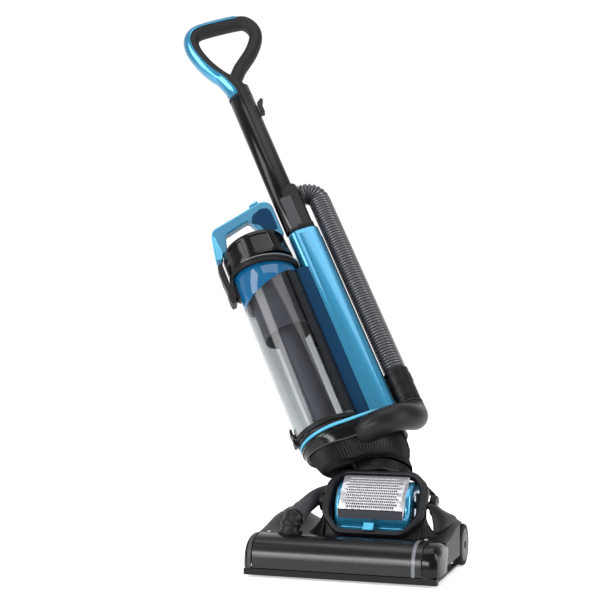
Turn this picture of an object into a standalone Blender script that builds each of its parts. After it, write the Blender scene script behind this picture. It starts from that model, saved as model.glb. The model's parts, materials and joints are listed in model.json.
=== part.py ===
"""Upright vacuum cleaner with a swivel neck, parked with its body twisted to one side.

Floor head with motor and brush roll, a yoke that reclines on the head, and an upright
that twists on the yoke and carries a lift-off dust bin, a spine, a stretch hose and a
loop handle. Lengths are millimetres until the helpers turn them to metres.
"""

import math

import bmesh
import bpy
from mathutils import Euler, Matrix, Vector

MM = 0.001
GAP = 0.4  # air kept between neighbouring pieces
ROUND_STEPS = 40
SMALL_STEPS = 20

# Floor head: X across, front towards -Y, floor at Z 0.
HEAD_HALF = 153
NOSE_FRONT = -124
NOSE_TOP = 62
LEFT_CAP_INNER, RIGHT_CAP_INNER = -138, 127
BRUSH_Y, BRUSH_Z, BRUSH_CORE_R, BRISTLE_R = -86, 31, 17, 27
WHEEL_Y, WHEEL_R, WHEEL_WIDTH, WHEEL_X = 74, 33, 18, 143
ROLLER_Y, ROLLER_R, ROLLER_X = -42, 8, 105
PEDAL_X, PEDAL_Y, PEDAL_Z = -88, 84, 34

# Motor pod, lying across the head.
POD_X, POD_Y, POD_Z = 30, 0, 92
POD_HALF_LENGTH = 60
HOUSING_R, FILTER_R, COVER_R, COVER_WALL = 46, 49, 52, 2.5
SURROUND_Y, SURROUND_Z, SURROUND_LEAN = -26, 106.5, 38
MOTOR_Y, MOTOR_Z, MOTOR_R = 6, 50, 30
PULLEY_X, BRUSH_PULLEY_R, MOTOR_PULLEY_R = 134, 12, 5

# Neck: the yoke turns on PIVOT, and the upright twists on an axis that leans with it.
PIVOT = (27, 10.4, 101.5)
NECK_LEAN = 30
NECK_REACH = 60
WEDGE = 29
TWIST = -75
ARM_X = 88

# Upright, in its own frame: front towards -Y, up +Z, datum 14 mm above the swivel plane.
DATUM = 14
BASE_FRONT_Y, BASE_BACK_Y, BASE_R, DECK_Z = -52, -4, 61, 60
BIN_Y, BIN_R, BIN_WALL = -60, 54, 2
BIN_BOTTOM, BIN_TOP = 70, 396
LID_BOTTOM, LID_TOP, LID_R = 398, 447, 58
SPINE_FRONT, SPINE_BACK, SPINE_HALF, SPINE_TOP = 2, 58, 23, 440
TUBE_Y, TUBE_HALF_X, TUBE_HALF_Y = 24, 17, 22
TUBE_BOTTOM, TUBE_TOP = 448, 752
HOSE_Y, HOSE_R, HOSE_BEND_R, HOSE_TOP = 81, 19.5, 22, 517
ELBOW_R = 22
SOCKET_TOP, SOCKET_BACK = 538, 52.6
CUFF_TOP, CUFF_BOTTOM = 138, 78
SLANT = 9  # the bin collar is higher at the front


def clear_scene():
    for old in list(bpy.data.objects):
        bpy.data.objects.remove(old)


clear_scene()
parts = bpy.data.collections.new("upright_vacuum")
cutters = bpy.data.collections.new("cutters")
bpy.context.scene.collection.children.link(parts)
bpy.context.scene.collection.children.link(cutters)


# ---------------------------------------------------------------- materials
def srgb(value):
    return tuple(((c / 12.92) if c <= 0.04045 else ((c + 0.055) / 1.055) ** 2.4)
                 for c in (int(value[i:i + 2], 16) / 255 for i in (0, 2, 4)))


def material(name, colour, roughness, metallic=0.0, alpha=1.0):
    made = bpy.data.materials.new(name)
    made.use_nodes = True
    shader = made.node_tree.nodes["Principled BSDF"]
    shader.inputs["Base Color"].default_value = (*srgb(colour), 1)
    shader.inputs["Roughness"].default_value = roughness
    shader.inputs["Metallic"].default_value = metallic
    shader.inputs["Alpha"].default_value = alpha
    return made


GLOSS_BLACK = material("gloss_black", "17171A", 0.15)
MATT_BLACK = material("matt_black", "26262A", 0.5)
DARK_GREY = material("dark_grey", "4A4A4F", 0.45)
BLUE = material("metallic_blue", "2F8FBF", 0.25, 0.3)
LIGHT_BLUE = material("light_blue", "6CC0E0", 0.35)
SILVER = material("silver", "C9CBCE", 0.3, 0.8)
CLEAR = material("clear_smoke", "9A9CA3", 0.05, alpha=0.35)
CLEAR_BLUE = material("clear_blue", "2A7DB5", 0.1, alpha=0.6)
HOSE_GREY = material("hose_grey", "55565A", 0.55)
RUBBER = material("rubber", "202022", 0.8)
STEEL = material("steel", "9A9CA0", 0.35, 1.0)
FILTER_WHITE = material("filter_white", "E6E6E0", 0.9)


# ---------------------------------------------------------------- frames
def frame(name, parent, place=(0, 0, 0), turn=None):
    """An empty that carries a body. place is in millimetres, turn a 3x3 matrix."""
    empty = bpy.data.objects.new(name, None)
    parts.objects.link(empty)
    empty.parent = parent
    rotation = turn.to_4x4() if turn else Matrix.Identity(4)
    empty.matrix_basis = Matrix.Translation(Vector(place) * MM) @ rotation
    return empty


def turn_x(degrees):
    return Matrix.Rotation(math.radians(degrees), 3, "X")


def turn_z(degrees):
    return Matrix.Rotation(math.radians(degrees), 3, "Z")


HEAD = frame("head_frame", None)
YOKE = frame("yoke_frame", HEAD, PIVOT, turn_x(-NECK_LEAN))
UPRIGHT = frame("upright_frame", YOKE, (0, 0, NECK_REACH), turn_z(TWIST) @ turn_x(WEDGE))
BODY = frame("body_datum", UPRIGHT, (0, 0, DATUM))
ACROSS = Euler((0, math.radians(90), 0)).to_matrix()  # local Z laid along X
SIDEWAYS = Euler((math.radians(90), 0, math.radians(90))).to_matrix()  # XY drawn as YZ


# ---------------------------------------------------------------- shapes
def place(obj, parent, colour, at=(0, 0, 0), turn=None, smooth=30):
    parts.objects.link(obj)
    obj.parent = parent
    rotation = turn.to_4x4() if turn else Matrix.Identity(4)
    obj.matrix_basis = Matrix.Translation(Vector(at) * MM) @ rotation
    if obj.type == "MESH":
        obj.data.materials.append(colour)
        obj.data.shade_smooth()
        obj.data.set_sharp_from_angle(angle=math.radians(smooth))
    return obj


def from_bmesh(name, bm):
    bmesh.ops.scale(bm, vec=Vector((MM, MM, MM)), verts=bm.verts)
    mesh = bpy.data.meshes.new(name)
    bm.to_mesh(mesh)
    bm.free()
    return bpy.data.objects.new(name, mesh)


def box(name, low, high, parent, colour, bevel=0.0):
    low, high = Vector(low), Vector(high)
    bm = bmesh.new()
    bmesh.ops.create_cube(bm, size=1)
    bmesh.ops.scale(bm, vec=high - low, verts=bm.verts)
    obj = place(from_bmesh(name, bm), parent, colour, (low + high) / 2)
    if bevel:
        round_edges(obj, bevel)
    return obj


def round_edges(obj, width, segments=2):
    rounding = obj.modifiers.new("round_edges", "BEVEL")
    rounding.width = width * MM
    rounding.segments = segments
    rounding.limit_method = "ANGLE"
    rounding.angle_limit = math.radians(40)
    return obj


def cylinder(name, radius, length, parent, colour, at, turn=None, steps=SMALL_STEPS):
    bm = bmesh.new()
    bmesh.ops.create_cone(bm, cap_ends=True, segments=steps, radius1=radius, radius2=radius, depth=length)
    return place(from_bmesh(name, bm), parent, colour, at, turn)


def turned(name, profile, parent, colour, at=(0, 0, 0), turn=None, steps=ROUND_STEPS, closed=True):
    """A profile of (radius, height) points, down the outer side first, turned about local Z."""
    bm = bmesh.new()
    points = [bm.verts.new((r, 0, z)) for r, z in profile]
    for first, second in zip(points, points[1:]):
        bm.edges.new((first, second))
    if closed:
        bm.edges.new((points[-1], points[0]))
    obj = place(from_bmesh(name, bm), parent, colour, at, turn)
    screw = obj.modifiers.new("turn", "SCREW")
    screw.steps = screw.render_steps = steps
    screw.use_merge_vertices = True
    screw.merge_threshold = 0.00005
    screw.use_smooth_shade = False
    return obj


def ring(name, outer, inner, bottom, top, parent, colour, at=(0, 0, 0), turn=None, steps=ROUND_STEPS):
    profile = [(outer, top), (outer, bottom), (inner, bottom), (inner, top)]
    return turned(name, profile, parent, colour, at, turn, steps)


def mesh_of(curve_obj):
    """The curve's evaluated mesh, welded, as a mesh object of the same name."""
    graph = bpy.context.evaluated_depsgraph_get()
    mesh = bpy.data.meshes.new_from_object(curve_obj.evaluated_get(graph))
    bm = bmesh.new()
    bm.from_mesh(mesh)
    bmesh.ops.remove_doubles(bm, verts=bm.verts, dist=0.00001)
    bmesh.ops.recalc_face_normals(bm, faces=bm.faces)
    bm.to_mesh(mesh)
    bm.free()
    name = curve_obj.name
    bpy.data.objects.remove(curve_obj)
    return bpy.data.objects.new(name, mesh)


def flat(name, outline, thickness, parent, colour, at=(0, 0, 0), turn=None, holes=()):
    """A flat outline, with any holes, thickened both ways from its own plane."""
    curve = bpy.data.curves.new(name, "CURVE")
    curve.dimensions = "2D"
    curve.fill_mode = "BOTH"
    curve.extrude = thickness / 2 * MM
    for loop in (outline, *holes):
        spline = curve.splines.new("POLY")
        spline.points.add(len(loop) - 1)
        for point, (x, y) in zip(spline.points, loop):
            point.co = (x * MM, y * MM, 0, 1)
        spline.use_cyclic_u = True
    obj = bpy.data.objects.new(name, curve)
    bpy.context.scene.collection.objects.link(obj)
    bpy.context.view_layer.update()
    return place(mesh_of(obj), parent, colour, at, turn)


def pipe(name, route, radius, parent, colour, wall=0.0, sides=4, smooth=60):
    """A round bar along a route of points, or a tube where wall is given."""
    curve = bpy.data.curves.new(name, "CURVE")
    curve.dimensions = "3D"
    curve.bevel_depth = radius * MM
    curve.bevel_resolution = sides
    curve.use_fill_caps = not wall
    spline = curve.splines.new("POLY")
    spline.points.add(len(route) - 1)
    for point, place_mm in zip(spline.points, route):
        point.co = (*(Vector(place_mm) * MM), 1)
    obj = bpy.data.objects.new(name, curve)
    bpy.context.scene.collection.objects.link(obj)
    bpy.context.view_layer.update()
    made = place(mesh_of(obj), parent, colour, smooth=smooth)
    if wall:
        thicken(made, wall)
    return made


def thicken(obj, wall, even=True):
    """Gives an open surface its wall, inwards from the face it was drawn on."""
    solid = obj.modifiers.new("wall", "SOLIDIFY")
    solid.thickness = wall * MM
    solid.offset = -1
    solid.use_even_offset = even
    return obj


def loft(name, sections, parent, colour, caps=True, ring_closed=True, at=(0, 0, 0), turn=None, smooth=40):
    """Faces between unlike sections, each a list of the same number of points."""
    bm = bmesh.new()
    rows = [[bm.verts.new(p) for p in section] for section in sections]
    count = len(rows[0])
    spans = count if ring_closed else count - 1
    for low, high in zip(rows, rows[1:]):
        for i in range(spans):
            j = (i + 1) % count
            bm.faces.new((low[i], low[j], high[j], high[i]))
    if caps:
        bm.faces.new(rows[0][::-1])
        bm.faces.new(rows[-1])
    bmesh.ops.recalc_face_normals(bm, faces=bm.faces)
    return place(from_bmesh(name, bm), parent, colour, at, turn, smooth)


def cut(obj, *tools):
    for tool in tools:
        combine(obj, tool, "DIFFERENCE")
    return obj


def join(obj, *extras):
    for extra in extras:
        combine(obj, extra, "UNION")
    return obj


def combine(obj, helper, operation):
    if helper.name in parts.objects:
        parts.objects.unlink(helper)
        cutters.objects.link(helper)
    helper.hide_render = True
    helper.display_type = "WIRE"
    boolean = obj.modifiers.new(helper.name, "BOOLEAN")
    boolean.operation = operation
    boolean.object = helper


def stadium(front_y, back_y, radius, height, count=40):
    """Two half circles on the Y axis joined by straight sides; height gives Z for a Y."""
    half = count // 2
    points = []
    for i in range(half + 1):
        angle = math.pi + math.pi * i / half
        points.append((radius * math.cos(angle), front_y + radius * math.sin(angle)))
    for i in range(half + 1):
        angle = math.pi * i / half
        points.append((radius * math.cos(angle), back_y + radius * math.sin(angle)))
    return [(x, y, height(y)) for x, y in points]


def round_outline(half_x, low_y, high_y, corner, count=5):
    """A rectangle with round corners, as (x, y) points."""
    points = []
    corners = ((half_x, high_y, 0), (-half_x, high_y, 90), (-half_x, low_y, 180), (half_x, low_y, 270))
    for x, y, start in corners:
        cx = x - math.copysign(corner, x)
        cy = y - corner if y == high_y else y + corner
        for i in range(count + 1):
            angle = math.radians(start + 90 * i / count)
            points.append((cx + corner * math.cos(angle), cy + corner * math.sin(angle)))
    return points


def arc(radius, start, end, count, centre=(0, 0)):
    """Points (x, y) along an arc, angles in degrees."""
    angles = [math.radians(start + (end - start) * i / count) for i in range(count + 1)]
    return [(centre[0] + radius * math.cos(a), centre[1] + radius * math.sin(a)) for a in angles]


def arc_shell(name, outer, inner, start, end, x_low, x_high, centre, parent, colour, count=14):
    """A curved plate: part of a tube that lies along X, between two angles."""
    outline = arc(outer, start, end, count) + arc(inner, end, start, count)
    return flat(name, outline, x_high - x_low, parent, colour,
                ((x_low + x_high) / 2, centre[0], centre[1]), SIDEWAYS)


# ---------------------------------------------------------------- floor head
def build_nose():
    outer = [(NOSE_FRONT, 14.5), (NOSE_FRONT - 0.5, 28), (-121, 42), (-113, 53), (-100, 60),
             (-86, NOSE_TOP), (-76, 61.4), (-67, 60)]
    inner = [(y + 2.4 * math.cos(a), z - 2.4 * math.sin(a))
             for (y, z), a in zip(outer, (0, 0, 0.4, 0.8, 1.2, 1.5, 1.6, 1.8))]
    middle = (LEFT_CAP_INNER + RIGHT_CAP_INNER) / 2
    width = RIGHT_CAP_INNER - LEFT_CAP_INNER - 2 * GAP
    flat("nose_cover", outer + inner[::-1], width, HEAD, GLOSS_BLACK, (middle, 0, 0), SIDEWAYS)


def build_end_cap(name, inner, outer_face):
    """A facetted hollow cap that closes one end of the brush housing."""
    direction = 1 if outer_face > inner else -1

    def section(x, shrink):
        low = 14 + shrink * 0.2
        return [(x, NOSE_FRONT + shrink, low), (x, NOSE_FRONT + shrink, 30), (x, -118 + shrink, 46),
                (x, -104 + shrink * 0.6, 58 - shrink * 0.4), (x, -86, 63 - shrink * 0.7),
                (x, -76, 62.5 - shrink * 0.8), (x, -67, 60 - shrink), (x, -67, low)]

    chamfer = 8
    sections = [section(inner, 0), section(outer_face - direction * chamfer, 0), section(outer_face, 7)]
    if direction < 0:
        sections = sections[::-1]
    cap = loft(name, sections, HEAD, GLOSS_BLACK, smooth=20)
    wall = 3
    low, high = sorted((inner - direction * 2, outer_face - direction * (wall + 3)))
    front = box(name + "_front_hollow", (low, NOSE_FRONT + 6, 0), (high, -99, 42), HEAD, MATT_BLACK)
    rear = box(name + "_rear_hollow", (low, -100, -1), (high, -40, 54), HEAD, MATT_BLACK)
    return cut(cap, front, rear)


def cover_height(x, y):
    """Top of the rear cover: a low saddle that swells into a fender over each wheel."""
    saddle = 56 + 4 * math.exp(-((y + 10) / 60) ** 2)
    swell = 0
    for side in (-1, 1):
        across = (x - side * 122) / 34
        along = (y - 40) / 55
        swell += 29 * math.exp(-across * across - along * along)
    drop = 26 * max(0.0, (y - 70) / 38) ** 2
    return saddle + swell - drop


def build_top_cover():
    ys = [-65.5 + 12.5 * i for i in range(13)]
    xs = [-150 + 15 * i for i in range(21)]
    rows = []
    for y in ys:
        row = [(-151, y, 22)]
        row += [(x, y, cover_height(x, y)) for x in xs]
        row += [(151, y, 22)]
        rows.append(row)
    rows.append([(x, ys[-1] + 2, min(z, 24)) for x, _, z in rows[-1]])
    cover = loft("top_cover", rows, HEAD, MATT_BLACK, caps=False, ring_closed=False, smooth=50)
    thicken(cover, 2.4)
    tools = [cylinder("pod_well", COVER_R + 8, 2 * POD_HALF_LENGTH + 30, HEAD, MATT_BLACK,
                      (POD_X, POD_Y - 4, POD_Z), ACROSS, 40)]
    tools.append(box("yoke_slot", (PIVOT[0] - ARM_X - 8, -34, 30), (PIVOT[0] + ARM_X + 8, 92, 150), HEAD,
                     MATT_BLACK))
    tools.append(box("pedal_slot", (PEDAL_X - 22, PEDAL_Y - 10, 18), (PEDAL_X + 22, 130, 64), HEAD,
                     MATT_BLACK))
    for side in (-1, 1):
        low, high = sorted((side * (WHEEL_X - WHEEL_WIDTH / 2 - 3), side * 170))
        tools.append(box(f"wheel_arch_{side}", (low, WHEEL_Y - WHEEL_R - 4, -5),
                         (high, WHEEL_Y + WHEEL_R + 30, 2 * WHEEL_R + 4), HEAD, MATT_BLACK))
    cut(cover, *tools)


def build_sole():
    outline = [(-148, -117), (148, -117), (148, 34), (126, 34), (126, 100), (-126, 100), (-126, 34),
               (-148, 34)]
    slot = [(-134, -115), (-134, -55), (122, -55), (122, -115)]
    sole = flat("sole_plate", outline, 3, HEAD, MATT_BLACK, (0, 0, 7.5), holes=[slot])
    tools = [box(f"roller_slot_{side}", (side * ROLLER_X - 10, ROLLER_Y - 10, 0),
                 (side * ROLLER_X + 10, ROLLER_Y + 10, 20), HEAD, MATT_BLACK) for side in (-1, 1)]
    tools.append(box("belt_slot", (PULLEY_X - 8, -110, 0), (PULLEY_X + 8, -60, 20), HEAD, MATT_BLACK))
    cut(sole, *tools)
    lip = [(NOSE_FRONT - 1, 4), (NOSE_FRONT - 1, 13.5), (-113, 13.5), (-113, 4)]
    extras = [flat("front_lip", lip, 2 * HEAD_HALF - 6, HEAD, MATT_BLACK, (0, 0, 0), SIDEWAYS),
              box("motor_cradle", (POD_X - 34, MOTOR_Y - 14, 8),
                  (POD_X + 34, MOTOR_Y + 14, MOTOR_Z - MOTOR_R - GAP),
                  HEAD, MATT_BLACK),
              box("rear_wall", (-122, 93, 8), (122, 98, 21), HEAD, MATT_BLACK)]
    for side, word in ((-1, "left"), (1, "right")):
        low, high = sorted((side * 118, side * 125))
        extras.append(box(f"axle_post_{word}", (low, WHEEL_Y - 9, 8), (high, WHEEL_Y + 9, WHEEL_R + 9),
                          HEAD, MATT_BLACK))
        extras.append(cylinder(f"wheel_axle_{word}", 5.6, 28, HEAD, STEEL,
                               (side * (WHEEL_X - 8), WHEEL_Y, WHEEL_R), ACROSS, 16))
        extras.append(cylinder(f"roller_pin_{word}", 2.2, 26, HEAD, STEEL,
                               (side * ROLLER_X, ROLLER_Y, ROLLER_R), ACROSS, 10))
    for x in (PEDAL_X - 20, PEDAL_X + 16):
        extras.append(box(f"pedal_post_{x}", (x, PEDAL_Y - 4, 8), (x + 4, PEDAL_Y + 4, PEDAL_Z + 4), HEAD,
                          MATT_BLACK))
    extras.append(cylinder("pedal_pin", 2.5, 38, HEAD, STEEL, (PEDAL_X, PEDAL_Y, PEDAL_Z), ACROSS, 12))
    join(sole, *extras)


def build_brush():
    centre = (-6, BRUSH_Y, BRUSH_Z)
    brush = frame("brush_frame", HEAD, centre)
    length = 248
    ring("brush_core", BRUSH_CORE_R, 5, -length / 2, length / 2, brush, MATT_BLACK, turn=ACROSS, steps=24)
    rows = 4
    strips = []
    for k in range(rows):
        sections = []
        for i in range(9):
            share = i / 8
            angle = 2 * math.pi * k / rows + math.pi * 0.5 * share
            x = (share - 0.5) * (length - 20)
            out = Vector((0, math.cos(angle), math.sin(angle)))
            side = Vector((0, -math.sin(angle), math.cos(angle)))
            corner = [out * (BRUSH_CORE_R - 1.5) - side * 2.4, out * (BRUSH_CORE_R - 1.5) + side * 2.4,
                      out * BRISTLE_R + side * 1.4, out * BRISTLE_R - side * 1.4]
            sections.append([(x, c.y, c.z) for c in corner])
        strips.append(loft(f"bristle_strip_{k}", sections, brush, RUBBER))
    join(bpy.data.objects["brush_core"], *strips)
    ring("brush_pulley", BRUSH_PULLEY_R, 4.6, -4, 4, brush, STEEL, (PULLEY_X + 6, 0, 0), ACROSS, 24)
    cylinder("brush_axle", 4, 286, brush, STEEL, (3, 0, 0), ACROSS, 16)
    for name, x in (("brush_bearing_left", -138.5), ("brush_bearing_right", 144.5)):
        ring(name, 9, 4.6, -2.5, 2.5, HEAD, STEEL, (x, BRUSH_Y, BRUSH_Z), ACROSS, SMALL_STEPS)


def build_motor():
    rotor = frame("rotor_frame", HEAD, (POD_X, MOTOR_Y, MOTOR_Z))
    at = (POD_X, MOTOR_Y, MOTOR_Z)
    bore, inner, half = 4.6, MOTOR_R - 2, 40
    turned("motor_can", [(MOTOR_R, half), (MOTOR_R, -half), (bore, -half), (bore, 3 - half),
                         (inner, 3 - half),
                         (inner, half - 3), (bore, half - 3), (bore, half)], HEAD, STEEL, at, ACROSS)
    ring("stator", inner - GAP, 23, -28, 28, HEAD, STEEL, at, ACROSS, 40)
    armature = cylinder("armature", 22, 50, rotor, STEEL, (0, 0, 0), ACROSS, 24)
    join(armature, cylinder("motor_shaft", 4, 162, rotor, STEEL, (27, 0, 0), ACROSS, 16))
    ring("fan_impeller", 26, 4.4, -5, 5, rotor, DARK_GREY, (-48, 0, 0), ACROSS, 24)
    direction = math.atan2(BRUSH_Z - MOTOR_Z, BRUSH_Y - MOTOR_Y)
    lean = math.acos((BRUSH_PULLEY_R - MOTOR_PULLEY_R) / math.hypot(BRUSH_Y - MOTOR_Y, BRUSH_Z - MOTOR_Z))

    def around(radius_extra):
        loop = arc(BRUSH_PULLEY_R + radius_extra, math.degrees(direction - lean),
                   math.degrees(direction + lean),
                   12, (BRUSH_Y, BRUSH_Z))
        loop += arc(MOTOR_PULLEY_R + radius_extra, math.degrees(direction + lean),
                    math.degrees(direction - lean) + 360, 10, (MOTOR_Y, MOTOR_Z))
        return loop

    flat("drive_belt", around(2.2), 6, HEAD, RUBBER, (PULLEY_X, 0, 0), SIDEWAYS, holes=[around(GAP)])


def build_pod():
    centre = (POD_Y, POD_Z)
    low, high = POD_X - POD_HALF_LENGTH, POD_X + POD_HALF_LENGTH
    housing = cylinder("motor_housing", HOUSING_R, high - low, HEAD, BLUE, (POD_X, *centre), ACROSS, 40)
    round_edges(housing, 5, 2)
    hollow = cylinder("housing_hollow", HOUSING_R - 2.5, high - low - 5, HEAD, BLUE, (POD_X, *centre),
                      ACROSS, 40)
    bottom = box("housing_bottom", (low - 5, -80, 0), (high + 5, 80, 66), HEAD, BLUE)
    cut(housing, hollow, bottom)
    pins = [cylinder(f"yoke_pin_{side}", 6, 32, HEAD, STEEL, (PIVOT[0] + side * (ARM_X - 16), *PIVOT[1:]),
                     ACROSS, 16) for side in (-1, 1)]
    join(housing, *pins, box("pod_trim", (POD_X - 50, -45, 60), (POD_X + 50, -34, 68), HEAD, BLUE))
    arc_shell("exhaust_filter", FILTER_R + 2.2, HOUSING_R + GAP, 95, 175, POD_X - 46, POD_X + 46,
              centre, HEAD, FILTER_WHITE)
    cover = frame("cover_frame", HEAD, (POD_X, POD_Y, POD_Z))
    arc_shell("filter_cover", COVER_R + COVER_WALL, COVER_R, 92, 187, -53, 53, (0, 0), cover, SILVER)
    tab = frame("tab_frame", HEAD, (POD_X, SURROUND_Y, SURROUND_Z), turn_x(90 - SURROUND_LEAN))
    box("cover_tab", (-8, -54, 10), (8, -41, 14), tab, LIGHT_BLUE, 1.5)


def octagon(half_x, half_y, corner_x, corner_y):
    return [(-half_x + corner_x, half_y), (half_x - corner_x, half_y), (half_x, half_y - corner_y * 0.7),
            (half_x, -half_y + corner_y), (half_x - corner_x * 1.2, -half_y), (-half_x + corner_x * 1.2,
                                                                               -half_y),
            (-half_x, -half_y + corner_y), (-half_x, half_y - corner_y * 0.7)]


def build_pod_frame():
    """The octagonal surround, leaning back round the pod."""
    surround = flat("pod_surround", octagon(82, 57, 24, 34), 13, HEAD, MATT_BLACK,
                    (POD_X, SURROUND_Y, SURROUND_Z), turn_x(90 - SURROUND_LEAN), holes=[octagon(68, 47.5,
                                                                                                14, 26)])
    round_edges(surround, 2, 1)


def build_wheels():
    for side, word in ((-1, "left"), (1, "right")):
        wheel = frame(f"wheel_{word}_frame", HEAD, (side * WHEEL_X, WHEEL_Y, WHEEL_R))
        profile = [(WHEEL_R, 7), (WHEEL_R, -7), (WHEEL_R - 3, -9), (6, -9), (6, 9), (WHEEL_R - 3, 9)]
        turned(f"rear_wheel_{word}", profile, wheel, MATT_BLACK, turn=ACROSS, steps=36)
        roller = frame(f"roller_{word}_frame", HEAD, (side * ROLLER_X, ROLLER_Y, ROLLER_R))
        ring(f"front_roller_{word}", ROLLER_R, 2.6, -6, 6, roller, MATT_BLACK, turn=ACROSS, steps=20)


def build_head_duct():
    """Elbow on the brush housing and the flexible duct up to the neck."""
    elbow = [(-92, -74, 64), (-92, -73, 72), (-91, -68, 80), (-89, -58, 86), (-87, -46, 90), (-86, -36, 93)]
    pipe("duct_elbow", elbow, 15.5, HEAD, MATT_BLACK, wall=2.2, sides=4)
    route = [(-85.6, -33.5, 93.8), (-84, -20, 97), (-83, 0, 100.5), (-82, 18, 103), (-79, 36, 105.5),
             (-72, 51, 108), (-60, 61, 111), (-45, 66, 114), (-28, 68, 116), (-15, 68.5, 117)]
    pipe("duct_hose", route, 13, HEAD, HOSE_GREY, wall=1.4, sides=4)


def build_pedal():
    pedal = frame("pedal_frame", HEAD, (PEDAL_X, PEDAL_Y, PEDAL_Z))
    plate = box("release_pedal", (-15, -6, -5), (15, 36, 5), pedal, LIGHT_BLUE, 1.5)
    cut(plate, cylinder("pedal_bore", 3, 40, pedal, STEEL, (0, 0, 0), ACROSS, 12))


# ---------------------------------------------------------------- neck
def build_yoke():
    half = [(ARM_X + 4, -14), (ARM_X + 4, 16), (66, 38), (52, 47.5), (46, 58)]
    inner = [(44, 47), (61, 34.5), (ARM_X - 4, 13), (ARM_X - 4, -14)]
    outline = half + [(-x, y) for x, y in half[::-1]] + [(-x, y) for x, y in inner[::-1]] + inner
    upright_plane = turn_x(90)
    arms = flat("yoke_frame_arms", outline, 18, YOKE, MATT_BLACK, (0, 6, 0), upright_plane)
    socket = ring("socket_blank", 44, 30, 46, NECK_REACH - GAP, YOKE, MATT_BLACK)
    bore = cylinder("neck_bore", 30, 60, YOKE, MATT_BLACK, (0, 0, 55), steps=40)
    bosses = [cylinder(f"yoke_boss_{side}", 16, 10, YOKE, MATT_BLACK, (side * (ARM_X + 1), 0, 0), ACROSS, 28)
              for side in (-1, 1)]
    pin_holes = [cylinder(f"pin_hole_{side}", 6 + GAP, 12, YOKE, STEEL, (side * (ARM_X - 4), 0, 0), ACROSS,
                          16)
                 for side in (-1, 1)]
    join(arms, socket, *bosses)
    cut(arms, bore, *pin_holes)
    ring("swivel_bearing", 29.6, 26, 50, 66, YOKE, STEEL)


# ---------------------------------------------------------------- upright: base and spine
def rim_height(y):
    return 4 - 0.29 * y


def skirt_height(y):
    return -8 - 0.25 * y


def elbow_route():
    return [(0, HOSE_Y, CUFF_BOTTOM - 1), (0, HOSE_Y, 68), (3, 80.5, 58), (12, 78, 48), (27, 71, 42),
            (42, 60, 39.5), (54, 44, 38.5), (60, 26, 37.5), (59, 8, 37), (51, -8, 36.5), (39, -16, 36)]


def build_base():
    back = math.cos(math.radians(WEDGE))
    drop = math.sin(math.radians(WEDGE))

    def swivel_ring(radius, height):
        return [(x, y * back + height * drop, -DATUM - y * drop + height * back)
                for x, y, _ in stadium(0, 0, radius, lambda y: 0)]

    sections = [stadium(BASE_FRONT_Y, BASE_BACK_Y, BASE_R, lambda y: DECK_Z - 5),
                stadium(-50, 0, 53, rim_height), stadium(-44, 0, 46, skirt_height),
                swivel_ring(46, 1.2), swivel_ring(38, 1.2)]
    dish = loft("base_dish", sections, BODY, GLOSS_BLACK, caps=False, smooth=35)
    thicken(dish, 2.6, even=False)
    clearance = pipe("elbow_clearance", elbow_route(), ELBOW_R + GAP, BODY, MATT_BLACK, sides=5)
    cut(dish, clearance)
    deck = [(x, y) for x, y, _ in stadium(BASE_FRONT_Y, BASE_BACK_Y, BASE_R - 3, lambda y: 0)]
    cut(flat("base_deck", deck, 3.4, BODY, GLOSS_BLACK, (0, 0, DECK_Z + 0.6)), clearance)
    outer = [(x, y) for x, y, _ in stadium(BASE_FRONT_Y, BASE_BACK_Y, BASE_R + 1.5, lambda y: 0)]
    inner = [(x, y) for x, y, _ in stadium(BASE_FRONT_Y, BASE_BACK_Y, BASE_R - 3 + GAP, lambda y: 0)]
    cut(flat("accent_ring", outer, 5, BODY, LIGHT_BLUE, (0, 0, DECK_Z), holes=[inner]), clearance)
    ring("swivel_collar", 36, 30.2, GAP, 12, UPRIGHT, MATT_BLACK, turn=turn_x(-WEDGE))


def build_spine():
    outer = round_outline(SPINE_HALF, SPINE_FRONT, SPINE_BACK, 19)
    inner = round_outline(SPINE_HALF - 2.5, SPINE_FRONT + 2.5, SPINE_BACK - 2.5, 16.5)
    height = SPINE_TOP - DECK_Z - 3
    middle = (SPINE_TOP + DECK_Z + 3) / 2
    shell = flat("spine_shell", outer, height, BODY, BLUE, (0, 0, middle), holes=[inner])
    cut(shell, box("spine_back_opening", (-13, SPINE_BACK - 6, 90), (13, SPINE_BACK + 5, SPINE_TOP - 20),
                   BODY, BLUE))
    join(shell, box("cord_hook_lower", (-SPINE_HALF - 16, 20, 196), (-SPINE_HALF + 1.5, 34, 206), BODY,
                    BLUE))
    box("spine_back_cover", (-12.6, SPINE_BACK - 2.5, 90.5), (12.6, SPINE_BACK - 0.2, SPINE_TOP - 20.5),
        BODY, MATT_BLACK)
    ring("riser_duct", 14, 12, DECK_Z + 4, SPINE_TOP - 10, BODY, DARK_GREY, (0, 26, 0), steps=24)
    cap = flat("spine_cap", round_outline(SPINE_HALF - 0.5, 18, SOCKET_BACK, 5),
               SOCKET_TOP - SPINE_TOP - GAP, BODY,
               MATT_BLACK, (0, 0, (SOCKET_TOP + SPINE_TOP + GAP) / 2))
    tube_room = [(x, y) for x, y, _ in tube_section(0, 1.0)]
    join(cap, box("spine_top_plate", (-SPINE_HALF + 4, 6, SPINE_TOP + GAP), (SPINE_HALF - 4, 30, 446), BODY,
                  MATT_BLACK))
    cut(cap, flat("tube_room", tube_room, 100, BODY, MATT_BLACK, (0, 0, TUBE_BOTTOM - 1 + 50)),
        cylinder("hose_port", HOSE_R - 2.5, 20, BODY, MATT_BLACK, (0, SOCKET_BACK, HOSE_TOP), turn_x(90),
                 28))


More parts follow.
